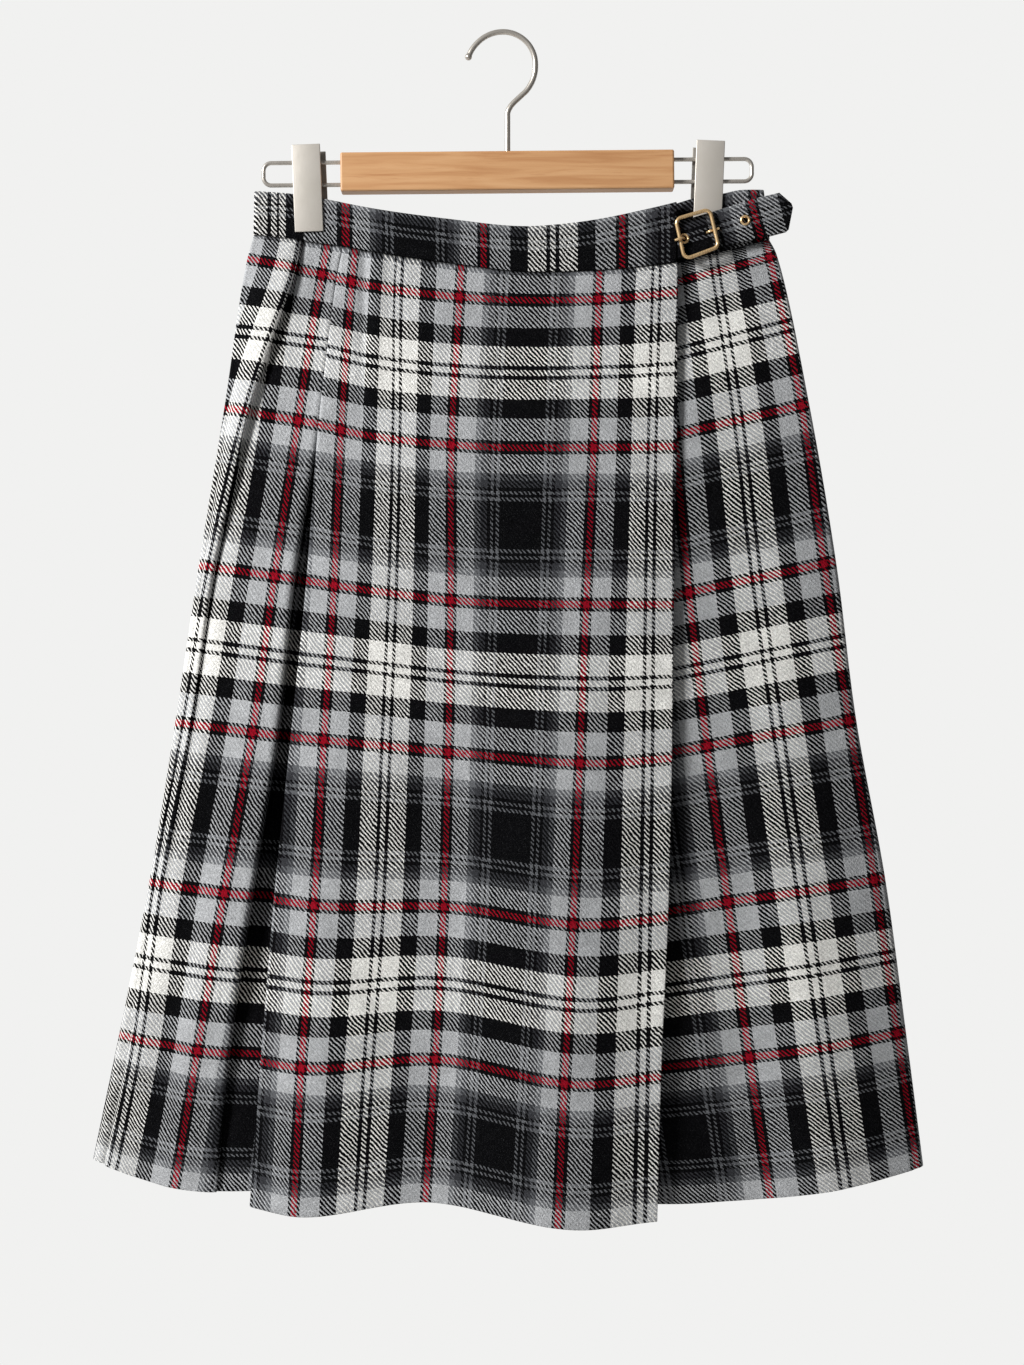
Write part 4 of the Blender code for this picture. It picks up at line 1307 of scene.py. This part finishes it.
@dataclass
class UnderApron(Cloth):
    """Layer beneath the apron, round the right side to the back seam."""

    node: str = "under_apron"
    apron: FrontApron | None = None
    table: Table = Table(
        "drop edge_z sag",
        (0, -162.2, 0.0),
        (22, -175.8, 0.0),
        (131, -284.5, 0.0),
        (240, -399.1, 0.0),
        (350, -508.8, 0.0),
        (461, -620.6, 0.0),
        (573, -728.9, 2.0),
        (678, -823.3, 7.0),
    )
    lines: Table = Table(
        "drop red_a red_b",
        (0, 111.9, 185.9),
        (22, 112.9, 188.8),
        (131, 121.7, 211.1),
        (240, 131.3, 227.1),
        (350, 143.8, 244.5),
        (461, 158.2, 262.5),
        (573, 173.1, 278.3),
        (678, 187.6, 292.5),
    )
    reach: float = 105 * MM
    slope: float = 0.05
    wrap: float = 10 * MM
    black_pitch: float = 0.95 * MM
    side_pitch: float = 0.85 * MM
    face_points: int = 91
    still: int = 8

    def height(self, x: Points, drop: float) -> Points:
        """Z of the panel's row.

        Args:
            x: Places across, in metres.
            drop: Length of cloth below the seam.

        Returns:
            Z at each place.
        """
        left, right = self.apron.table.at("right", drop), self.form.sides.at("right", drop)
        x = np.minimum(x, right)
        part = (x - left) / (right - left)
        start, end = self.table.at("edge_z", drop), self.form.sides.at("right_z", drop)
        sag = self.table.at("sag", drop) * 4 * part * (1 - part)
        shown = start + (end - start) * part - sag
        hidden = start - self.slope * (left - x)
        return self.form.row_height(np.where(part < 0.0, hidden, shown), x, drop)

    def row(self, drop: float) -> tuple[Points, Points, Points]:
        """The face from behind the apron, and the turn round the right side.

        Args:
            drop: Length of cloth below the seam.

        Returns:
            X, y and check units at each point.
        """
        edge = self.form.sides.at("right", drop)
        start = self.apron.table.at("right", drop) - self.reach
        turn = dense(self.form.side_turn(edge, drop, -1, self.wrap)[::-1], 2)
        face_x = np.linspace(start, turn[0, 0], self.face_points + 1)[:-1]
        face = np.stack([face_x, self.form.under_depth(face_x, drop)], axis=1)
        profile = np.concatenate([face, turn])
        red_a, red_b = (float(self.lines.at(name, drop)) for name in ("red_a", "red_b"))
        knots = (red_a - 110 * self.black_pitch, red_a, red_b, red_b + 110 * self.side_pitch)
        across = np.interp(profile[:, 0], knots, (110, 220, 330, 440))
        line = along(profile)
        last = len(face)
        across[last:] = across[last] + (line[last:] - line[last]) / self.side_pitch
        return profile[:, 0], profile[:, 1], across

    def soften(self, x: Points, z: Points, drop: float) -> Points:
        """Like the other panels, but still where the turn meets the back."""
        soft = np.arange(len(x)) < self.face_points + self.still
        return np.where(soft, super().soften(x, z, drop), 0.0)

    def anchor(self) -> Points:
        """X halfway between the two red lines."""
        drops = self.drops()
        return (self.lines.at("red_a", drops) + self.lines.at("red_b", drops)) / 2


@dataclass
class BackPanel(Cloth):
    """Back of the skirt, in knife pleats that open towards the hem."""

    node: str = "back_panel"
    left: LeftPanel | None = None
    under: UnderApron | None = None
    band_name: str = "waistband_back_cloth"
    pleats: int = 6
    sewn: float = 107 * MM
    pleat_height: tuple[float, float] = (1.4 * MM, 7.0 * MM)
    sag: tuple[float, float] = (23 * MM, 30 * MM)
    land: float = 5 * MM
    turn: float = 2.2 * MM
    butt: float = 0.4 * MM
    pleat_points: int = 21
    first_unit: float = 20.0
    hidden_units: float = 74.0
    elsewhere: float = 0.4

    def ends(self, drop: float) -> tuple[float, float]:
        """X of both edges, just clear of the side panels' ends."""
        inset = self.form.side_radius(drop) + self.left.wrap + self.butt
        return self.form.sides.at("left", drop) + inset, self.form.sides.at("right", drop) - inset

    def height(self, x: Points, drop: float) -> Points:
        """Z of the back's row.

        Args:
            x: Places across, in metres.
            drop: Length of cloth below the seam.

        Returns:
            Z at each place.
        """
        start, end = self.ends(drop)
        part = (x - start) / (end - start)
        level = self.left.height(start - self.butt, drop) * (1 - part)
        level = level + self.under.height(end + self.butt, drop) * part
        bow = np.maximum(0.0, 1 - (2 * part - 1) ** 2)
        return level - self.form.blend(self.sag, drop) * bow

    def row(self, drop: float) -> tuple[Points, Points, Points]:
        """The pleats from left to right, between a flat land at either end.

        Args:
            drop: Length of cloth below the seam.

        Returns:
            X, y and check units at each point.
        """
        start, end = self.ends(drop)
        opened = ease((drop - self.sewn) / (CUT_LENGTH - self.sewn))
        low, high = self.pleat_height
        height = low + (high - low) * opened
        pitch = (end - start - 2 * self.land) / self.pleats
        part = np.tile(np.linspace(0.0, 1.0, self.pleat_points), self.pleats)
        pleat = np.repeat(np.arange(self.pleats), self.pleat_points)
        x = start + self.land + pitch * pleat + (pitch - self.turn) * part
        y = self.form.back_depth(x, drop) + height * (part - 0.5)
        level = self.form.side_radius(drop)
        y[0] = level
        xs = np.concatenate([[start], x, [end - self.land, end]])
        ys = np.concatenate([[level], y, [level, level]])
        hidden = np.concatenate([[0], pleat, [self.pleats, self.pleats]]) * self.hidden_units
        return xs, ys, self.first_unit + hidden + (xs - start) / self.dark_pitch

    def soften(self, x: Points, z: Points, drop: float) -> Points:
        """The same towards the back, read elsewhere so that the two sides differ."""
        return self.form.crumple(x, z + self.elsewhere, drop)

    def anchor(self) -> Points:
        """The middle of the back."""
        return np.zeros(self.rows)


@dataclass
class Waistband:
    """Straight band of folded cloth, in the stretches that are sewn to the panels."""

    form: HungForm
    material: bpy.types.Material
    left: LeftPanel
    back: BackPanel
    wall: float = 2.4 * MM
    edge: float = 0.8 * MM
    column: float = 3.0 * MM
    up_rows: int = 11
    top_unit: float = 131.0
    inset_left: float = 0.6 * MM
    inset_until: float = 20 * MM
    inset_right: float = 4.2 * MM
    inset_from: float = 140 * MM
    reach: float = 27 * MM
    back_height: float = 31.5 * MM
    chart: tuple[tuple[float, ...], ...] = (
        (-230.0, -167.2, -158.0, -155.6, -142.0, -111.1, 260.0),
        (-20.6, 50.2, 59.8, 74.6, 88.6, 110.0, 528.4),
    )

    def units(self, x: Points) -> Points:
        """Check units along the band at x."""
        return np.interp(x / MM, *self.chart)

    def line(self, name: str, start: float, end: float) -> Points:
        """(x, y) along a stretch of band."""
        xs = np.linspace(start, end, max(2, round((end - start) / self.column)))
        return np.stack([xs, self.form.band.at(name, xs)], axis=1)

    def stretch(
        self, node: str, line: Points, anchor: int, lower: Points, tall: Points
    ) -> bpy.types.Object:
        """One stretch of the band from its line, lower edge and height.

        Args:
            node: The CAD node that it stands for.
            line: (x, y) along it.
            anchor: The point whose check units come from its place.
            lower: Height of the lower edge at each point.
            tall: The band's height at each point.

        Returns:
            The band's piece.
        """
        left, right = self.form.sides.at("left", 0.0), self.form.sides.at("right", 0.0)
        x, y = line[:, 0], line[:, 1]
        inset = self.inset_left * ease(1 - (x - left) / self.inset_until)
        inset = inset - self.inset_right * ease((x - self.inset_from) / (right - self.inset_from))
        length = along(line)
        across = self.units(x[anchor] + length - length[anchor])
        rows, charts = [], []
        for up in np.linspace(1, 0, self.up_rows):
            rows.append(np.stack([x + inset * up, y, lower + tall * up], axis=1))
            down = self.top_unit + (1 - up) * tall / MM
            charts.append(np.stack([across, down], axis=1))
        start = np.full(self.up_rows, x[anchor])
        points, chart = np.array(rows), np.array(charts)
        made = weave_sheet(f"{node}_cloth", points, chart, start, self.wall, self.edge)
        finish_piece(made, self.material, "band_wool", node)
        return made

    def build(self) -> None:
        """Sews the front, under and back stretches."""
        band = self.form.band
        left, right = self.form.sides.at("left", 0.0), self.form.sides.at("right", 0.0)
        turn = dense(self.form.side_turn(left, 0.0, 1, self.left.wrap), 2)
        front = np.concatenate([turn[:-1], self.line("front", turn[-1, 0], self.form.front_end)])
        turn = dense(self.form.side_turn(right, 0.0, -1, self.left.wrap)[::-1], 2)
        start = self.form.front_end - self.reach
        under = np.concatenate([self.line("under", start, turn[0, 0]), turn[1:]])
        back = self.line("back", *self.back.ends(0.0))
        for name, line, anchor in (("front", front, -1), ("under", under, 0), ("back", back, 0)):
            x = line[:, 0]
            lower, tall = band.at("lower", x), band.at("upper", x) - band.at("lower", x)
            if name == "back":
                lower = self.back.height(x, 0.0) + self.form.seam_gap
                tall = np.full_like(x, self.back_height)
            self.stretch(f"waistband_{name}", line, anchor, lower, tall)


# ---------------------------------------------------------------- strap and buckle


@dataclass
class BuckleStrap:
    """Pointed strap of band cloth with its brass buckle and eyelets."""

    wool: bpy.types.Material
    brass: bpy.types.Material
    centre: Vector = field(default_factory=lambda: Vector((170.8, -8.2, -134.6)) * MM)
    rise: float = math.radians(15.6)
    outline: tuple[tuple[float, float], ...] = (
        (-45.8, 12.7),
        (-52.6, -12.5),
        (-18.0, -12.4),
        (14.0, -14.6),
        (26.0, -14.8),
        (28.6, -13.4),
        (35.6, 0.6),
        (35.4, 3.7),
        (29.1, 13.3),
        (16.0, 13.9),
        (-15.0, 13.2),
    )
    eyelets: tuple[tuple[str, float, float], ...] = (("prong", -44.5, 0.1), ("spare", 0.6, 0.9))
    frame_corners: tuple[tuple[float, float], ...] = (
        (-46.9, 14.4),
        (-48.3, -14.6),
        (-22.8, -12.4),
        (-21.8, 14.9),
    )
    frame_round: float = 4.2 * MM
    frame_wire: float = 1.35 * MM
    frame_out: float = 3.6
    prong_wire: float = 0.9 * MM
    prong_bends: tuple[tuple[float, float], ...] = (
        (-19.7, 4.2),
        (-20.0, 2.3),
        (-21.4, 1.15),
        (-23.2, 1.15),
        (-24.7, 2.2),
        (-26.1, 1.8),
        (-27.4, 0.0),
        (-28.4, -2.5),
        (-43.0, -2.5),
        (-43.7, -1.2),
        (-44.5, 1.4),
        (-44.9, 3.6),
        (-45.6, 5.5),
        (-47.6, 6.3),
        (-51.5, 5.5),
    )
    wall: float = 2.4 * MM
    edge: float = 0.8 * MM
    hole: float = 2.9 * MM
    slot: tuple[Triple, Triple] = ((-24.2, 0.0, 0.0), (10.5, 10.0, 3.4))
    chart_start: tuple[float, float] = (8.3, 13.5)
    chart_units: tuple[float, float] = (440.0, 131.0)
    chart_pitch: float = 0.887
    cut: tuple[float, float] = (88 * MM, 29 * MM)
    lip: tuple[tuple[float, float], ...] = (
        (2.1, 0.4),
        (2.3, 0.75),
        (2.7, 0.9),
        (3.15, 0.8),
        (3.55, 0.55),
        (3.7, 0.3),
        (2.6, 0.3),
        (2.6, -2.4),
        (2.1, -2.4),
    )
    lip_steps: int = 40

    def place(self) -> Matrix:
        """The strap's own frame: +X along it, +Z across it, -Y outwards."""
        return Matrix.Translation(self.centre) @ Matrix.Rotation(-self.rise, 4, "Y")

    def spot(self, along_mm: float, out: float, across: float = 0.0) -> Vector:
        """A point in the strap's own frame, in mm."""
        return self.place() @ (Vector((along_mm, -out, across)) * MM)

    def cutter(self, along_mm: float, across: float) -> bpy.types.Object:
        """A round bar through the strap, for an eyelet's hole.

        Args:
            along_mm: Its place along the strap.
            across: Its place across the strap.

        Returns:
            The bar.
        """
        pick_none()
        bpy.ops.mesh.primitive_cylinder_add(vertices=32, radius=self.hole, depth=12 * MM)
        made = fresh("eyelet_cutter")
        made.rotation_euler = (math.radians(90), 0, 0)
        made.location = Vector((along_mm, 0.0, across)) * MM
        settle_in_place(made)
        return made

    def build_strap(self) -> None:
        """Cuts the strap, its eyelet holes and the prong's slot."""
        pick_none()
        bpy.ops.mesh.primitive_circle_add(
            vertices=len(self.outline), fill_type="NGON", calc_uvs=False
        )
        strap = fresh("buckle_strap_cloth")
        outline = np.array([(x, 0.0, z) for x, z in self.outline]) * MM
        strap.data.vertices.foreach_set("co", outline.ravel())
        strap.data.update()
        modify(strap, "SOLIDIFY", thickness=self.wall, offset=0.0)
        modify(strap, "BEVEL", width=self.edge, segments=3, limit_method="ANGLE", angle_limit=1.1)
        cutters = [self.cutter(along_mm, across) for _, along_mm, across in self.eyelets]
        pick_none()
        bpy.ops.mesh.primitive_cube_add(size=1.0)
        slot = fresh("slot_cutter")
        slot.location, slot.scale = (Vector(part) * MM for part in self.slot)
        settle_in_place(slot)
        for cutter in (*cutters, slot):
            cut_or_join(strap, cutter, "DIFFERENCE")
        places = places_of(strap.data) / MM
        across = self.chart_units[0] + (places[:, 0] - self.chart_start[0]) / self.chart_pitch
        down = self.chart_units[1] + self.chart_start[1] - places[:, 2]
        write_chart(strap.data, CHECK_MAP, np.stack([across, down], axis=1))
        write_chart(strap.data, THREAD_MAP, places[:, [0, 2]] * (1, -1))
        strap.matrix_world = self.place()
        settle_in_place(strap)
        bpy.ops.object.shade_smooth_by_angle(angle=math.radians(40))
        finish_piece(strap, self.wool, "band_wool", "buckle_strap")

    def build_eyelet(self, name: str, along_mm: float, across: float) -> None:
        """Turns one eyelet: a barrel with a rounded lip.

        Args:
            name: Which eyelet.
            along_mm: Its place along the strap.
            across: Its place across the strap.
        """
        radius, out = np.array(self.lip).T * MM
        out = out + self.wall / 2
        turn = np.linspace(0, 2 * math.pi, self.lip_steps, endpoint=False)[:, None]
        ring = [radius * np.cos(turn), np.broadcast_to(-out, (len(turn), len(out)))]
        points = np.stack([*ring, radius * np.sin(turn)], axis=2)
        pick_none()
        bpy.ops.mesh.primitive_torus_add(
            major_segments=self.lip_steps, minor_segments=len(radius), generate_uvs=False
        )
        made = fresh(f"eyelet_{name}_brass")
        made.data.vertices.foreach_set("co", points.ravel())
        face_outwards(made)
        made.matrix_world = self.place() @ Matrix.Translation(
            Vector((along_mm, 0.0, across)) * MM
        )
        settle_in_place(made)
        bpy.ops.object.shade_smooth_by_angle(angle=math.radians(50))
        finish_piece(made, self.brass, "brass", f"eyelet_{name}")

    def build_buckle(self) -> None:
        """Bends the frame and the prong."""
        corners = [self.spot(a, self.frame_out, c) for a, c in self.frame_corners]
        points = []
        for i, corner in enumerate(corners):
            back = (corners[i - 1] - corner).normalized()
            on = (corners[(i + 1) % 4] - corner).normalized()
            half = back.angle(on) / 2
            reach = self.frame_round / math.tan(half)
            middle = corner + (back + on).normalized() * (self.frame_round / math.sin(half))
            start, end = corner + back * reach - middle, corner + on * reach - middle
            for step in range(11):
                points.append(middle + start.slerp(end, step / 10).normalized() * self.frame_round)
        frame_wire = bent_wire("buckle_frame_brass", np.array(points), self.frame_wire, True)
        finish_piece(frame_wire, self.brass, "brass", "buckle_frame")
        bends = np.array([self.spot(a, out) for a, out in self.prong_bends])
        prong = bent_wire("buckle_prong_brass", dense(bends, 4), self.prong_wire)
        finish_piece(prong, self.brass, "brass", "buckle_prong")

    def build(self) -> None:
        """Makes the strap and its brass."""
        self.build_strap()
        for name, along_mm, across in self.eyelets:
            self.build_eyelet(name, along_mm, across)
        self.build_buckle()


# ---------------------------------------------------------------- hanger


@dataclass
class Hanger:
    """Wooden bar with its hook, its bent wire loops and two sprung clips."""

    wood: bpy.types.Material
    steel: bpy.types.Material
    nickel: bpy.types.Material
    dark: bpy.types.Material
    tilt: float = math.radians(0.5)
    centre: Vector = field(default_factory=lambda: Vector((3.1, 0.0, -97.7)) * MM)
    size: Vector = field(default_factory=lambda: Vector((236.2, 15.0, 27.5)) * MM)
    socket: float = 10 * MM
    clearance: float = 0.3 * MM
    wire: float = 1.5 * MM
    pitch: float = 15.9 * MM
    corner: float = 5.5 * MM
    reaches: tuple[float, float] = (55.0 * MM, 55.5 * MM)
    hook_wire: float = 2.0 * MM
    hook_middle: float = -21.0 * MM
    stem_x: float = 3.2 * MM
    neck_z: float = -54.3 * MM
    ball: float = 2.5 * MM
    bend_degrees: tuple[float, ...] = (-60, -30, 0, 100, 140, 176)
    bend_reach: tuple[float, ...] = (25.8, 24.0, 23.0, 23.0, 23.7, 25.5)
    plate_width: float = 20.2 * MM
    plate_thick: float = 1.2 * MM
    plate_gap: float = 3.2 * MM
    front_tall: float = 62 * MM
    rear_tall: float = 58 * MM
    flange_tall: float = 30 * MM
    flange_sink: float = 0.1 * MM
    spring_wire: float = 0.5 * MM
    spring_radius: float = 2.1 * MM
    spring_length: float = 13.2 * MM
    spring_turns: int = 9
    spring_steps: int = 20
    clips: tuple[tuple[str, float, float, float, float], ...] = (
        ("left", -139.9 * MM, -78.6 * MM, math.radians(-2.4), 3.4 * MM),
        ("right", 147.3 * MM, -75.8 * MM, math.radians(2.4), -2.0 * MM),
    )

    def spot(self, x: float, z: float) -> Vector:
        """A point of the hanger's own upright plane, after its small tilt."""
        return self.centre + Matrix.Rotation(-self.tilt, 3, "Y") @ Vector((x, 0.0, z))

    def build_bar(self) -> None:
        """Gives the bar its wood."""
        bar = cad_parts["hanger_bar"]
        bar.material_slots[0].material = self.wood
        log.info("hanger_bar keeps its own solid")

    def build_loop(self, name: str, side: int, reach: float) -> None:
        """Bends one loop: out of the bar, round its end and back in.

        Args:
            name: Left or right.
            side: -1 at the left and 1 at the right.
            reach: How far it stands out of the bar.
        """
        inner = side * (self.size.x / 2 - self.socket + self.clearance)
        outer = side * (self.size.x / 2 + reach)
        half = self.pitch / 2
        points = [self.spot(inner, half)]
        for sign, angles in ((1, np.linspace(90, 0, 9)), (-1, np.linspace(0, -90, 9))):
            for degrees in angles:
                turn = math.radians(degrees)
                x = outer - side * self.corner * (1 - math.cos(turn))
                z = sign * (half - self.corner) + self.corner * math.sin(turn)
                points.append(self.spot(x, z))
        points.append(self.spot(inner, -half))
        made = bent_wire(f"loop_{name}_wire", np.array(points), self.wire)
        finish_piece(made, self.steel, "steel", f"hanger_loop_{name}")

    def build_hook(self) -> None:
        """Bends the hook and sets the ball on its end."""
        foot = self.centre.z + self.size.z / 2 - self.socket + self.clearance
        points = [(self.stem_x, 0, foot), (self.stem_x, 0, self.neck_z - 1.5 * MM)]
        points.append((self.stem_x + 0.8 * MM, 0, self.neck_z + 1.0 * MM))
        for degrees in np.arange(-60, 177, 12):
            reach = MM * float(through(self.bend_degrees, self.bend_reach, degrees))
            turn = math.radians(degrees)
            points.append((reach * math.cos(turn), 0, self.hook_middle + reach * math.sin(turn)))
        bend = dense(np.array(points[1:], float), 4)
        wire = bent_wire("hook_wire", np.concatenate([[points[0]], bend]), self.hook_wire)
        pick_none()
        bpy.ops.mesh.primitive_uv_sphere_add(
            segments=28, ring_count=18, radius=self.ball, location=points[-1]
        )
        ball = fresh("hook_ball")
        settle_in_place(ball)
        cut_or_join(wire, ball, "UNION")
        pick(wire)
        bpy.ops.object.shade_smooth_by_angle(angle=math.radians(50))
        finish_piece(wire, self.steel, "steel", "hanger_hook")

    def build_clip(self, side: str, x: float, top: float, lean: float, shift: float) -> None:
        """Presses one clip's two plates.

        Args:
            side: Left or right.
            x: Middle of the front plate's top edge.
            top: Height of that edge.
            lean: Turn of the clip in the hanger's plane.
            shift: How far the rear plate stands to the side of the front one.
        """
        place = Matrix.Translation((x, 0.0, top)) @ Matrix.Rotation(lean, 4, "Y")
        width, thick, inner = self.plate_width, self.plate_thick, self.plate_gap
        face = -(inner + thick / 2)
        at = place @ Matrix.Translation((0, face, -self.front_tall / 2))
        size = (width, thick, self.front_tall)
        front = plate(f"clip_{side}_front_plate", size, at, 0.5 * MM)
        depth = inner - self.wire - self.clearance
        out = -inner + depth / 2 - self.flange_sink
        size = (thick, depth + 4 * self.flange_sink, self.flange_tall)
        for edge in (-1, 1):
            spot = (edge * (width / 2 - thick / 2), out, -self.flange_tall / 2)
            flange = plate("flange", size, place @ Matrix.Translation(spot), 0.2 * MM)
            cut_or_join(front, flange, "UNION")
        finish_piece(front, self.nickel, "steel", f"clip_front_{side}")
        at = place @ Matrix.Translation((shift, -face, self.rear_tall / 2 - self.front_tall))
        size = (width, thick, self.rear_tall)
        rear = plate(f"clip_{side}_rear_plate", size, at, 0.4 * MM)
        finish_piece(rear, self.dark, "steel", f"clip_rear_{side}")
        self.build_spring(side, x, shift)

    def build_spring(self, side: str, x: float, shift: float) -> None:
        """Winds one clip's spring on the level of its wire loop.

        Args:
            side: Left or right.
            x: Middle of the clip's front plate.
            shift: How far the rear plate stands to its side.
        """
        middle = self.spot(x - self.centre.x, 0.0)
        count = self.spring_turns * self.spring_steps + 1
        turn = np.arange(count) / self.spring_steps * 2 * math.pi
        run = np.linspace(-self.spring_length / 2, self.spring_length / 2, count)
        swing = self.spring_radius * np.stack([np.cos(turn), np.sin(turn)])
        coil = np.stack([x + shift / 2 + run, swing[0], middle.z + swing[1]], axis=1)
        spring = bent_wire(f"clip_{side}_spring_wire", coil, self.spring_wire)
        finish_piece(spring, self.dark, "steel", f"clip_spring_{side}")

    def build(self) -> None:
        """Makes the whole hanger."""
        self.build_bar()
        self.build_loop("left", -1, self.reaches[0])
        self.build_loop("right", 1, self.reaches[1])
        self.build_hook()
        for clip in self.clips:
            self.build_clip(*clip)


# ---------------------------------------------------------------- studio


@dataclass
class Studio:
    """Camera, one soft light, pale air and a floor well below the hem."""

    eye: Triple = (6.4 * MM, -1.7, -0.46)
    lens: float = 63.14
    sensor: float = 36.0
    middle: Triple = (0.0, 0.0, -0.45)
    key_place: Triple = (-2.0, -1.45, 0.8)
    key_size: float = 0.6
    key_power: float = 110.0
    key_colour: Triple = (1.0, 0.995, 0.98)
    floor_place: Triple = (0.0, -0.1, -1.2)
    floor_size: float = 1.3
    air: Colour = (241, 241, 240)
    side_dim: tuple[float, ...] = (0.25, 0.8, 1.0, 0.5)
    front_dim: tuple[float, ...] = (-0.3, 0.6, 0.2, 1.0)
    top_dim: tuple[float, ...] = (0.3, 0.8, 1.0, 0.4)

    def build_camera(self) -> None:
        """Sets the camera level in front of the skirt."""
        lens = bpy.data.cameras.new("front_camera")
        lens.lens = self.lens
        lens.sensor_width = self.sensor
        camera = bpy.data.objects.new("front_camera", lens)
        camera.location = self.eye
        camera.rotation_euler = (math.radians(90), 0, 0)
        bpy.context.scene.collection.objects.link(camera)
        bpy.context.scene.camera = camera

    def build_light(self) -> None:
        """Hangs one square soft light that faces the skirt's middle."""
        lamp = bpy.data.lights.new("key", "AREA")
        lamp.size = self.key_size
        lamp.energy = self.key_power
        lamp.color = self.key_colour
        light = bpy.data.objects.new("key", lamp)
        light.location = self.key_place
        aim = Vector(self.middle) - Vector(self.key_place)
        light.rotation_euler = aim.to_track_quat("-Z", "Y").to_euler()
        bpy.context.scene.collection.objects.link(light)

    def build_air(self) -> None:
        """Fills the room with pale air that is dimmer at the right, in front and above."""
        world = bpy.data.worlds.new("studio_air")
        mix = Mixing(world, "Background")
        way = mix.node("SeparateXYZ", {0: mix.node("TexCoord").outputs["Generated"]}).outputs
        dims = (self.side_dim, self.front_dim, self.top_dim)
        level = mix.range(way[0], *dims[0])
        for axis in (1, 2):
            level = mix.sum("MULTIPLY", level, mix.range(way[axis], *dims[axis]))
        mix.shade(Color=linear(self.air), Strength=level)
        bpy.context.scene.world = world

    def build_floor(self) -> None:
        """Lays the floor."""
        pick_none()
        bpy.ops.mesh.primitive_plane_add(size=self.floor_size, location=self.floor_place)
        floor = fresh("floor")
        settle_in_place(floor)
        floor.data.materials.append(PlainFloor().material("floor"))

    def build(self) -> None:
        """Sets up the studio."""
        self.build_camera()
        self.build_light()
        self.build_air()
        bpy.context.scene.view_settings.view_transform = "Standard"
        self.build_floor()


def main() -> None:
    """Builds the skirt and its hanger, piece by piece."""
    logging.basicConfig(level=logging.INFO, format="%(name)s: %(message)s")
    Studio().build()
    wool = CheckedWool().material("checked_wool")
    form = HungForm()
    apron = FrontApron(form, wool)
    left = LeftPanel(form, wool, apron=apron)
    under = UnderApron(form, wool, apron=apron)
    back = BackPanel(form, wool, left=left, under=under)
    for panel in (apron, left, under, back):
        panel.build()
    Waistband(form, wool, left, back).build()
    brass = Metal((232, 192, 138), (242, 210, 162), 0.27, 0.65).material("pale_brass")
    BuckleStrap(wool, brass).build()
    steel = Metal((186, 180, 172), (204, 198, 190), 0.3, 0.6).material("wire_steel")
    nickel = Metal((208, 202, 193), (214, 208, 200), 0.42, 0.4).material("satin_nickel")
    dark = Metal((142, 137, 130), (160, 155, 148), 0.45, 0.5).material("dark_steel")
    Hanger(BeechWood().material("beech"), steel, nickel, dark).build()


if __name__ == "__main__":
    main()
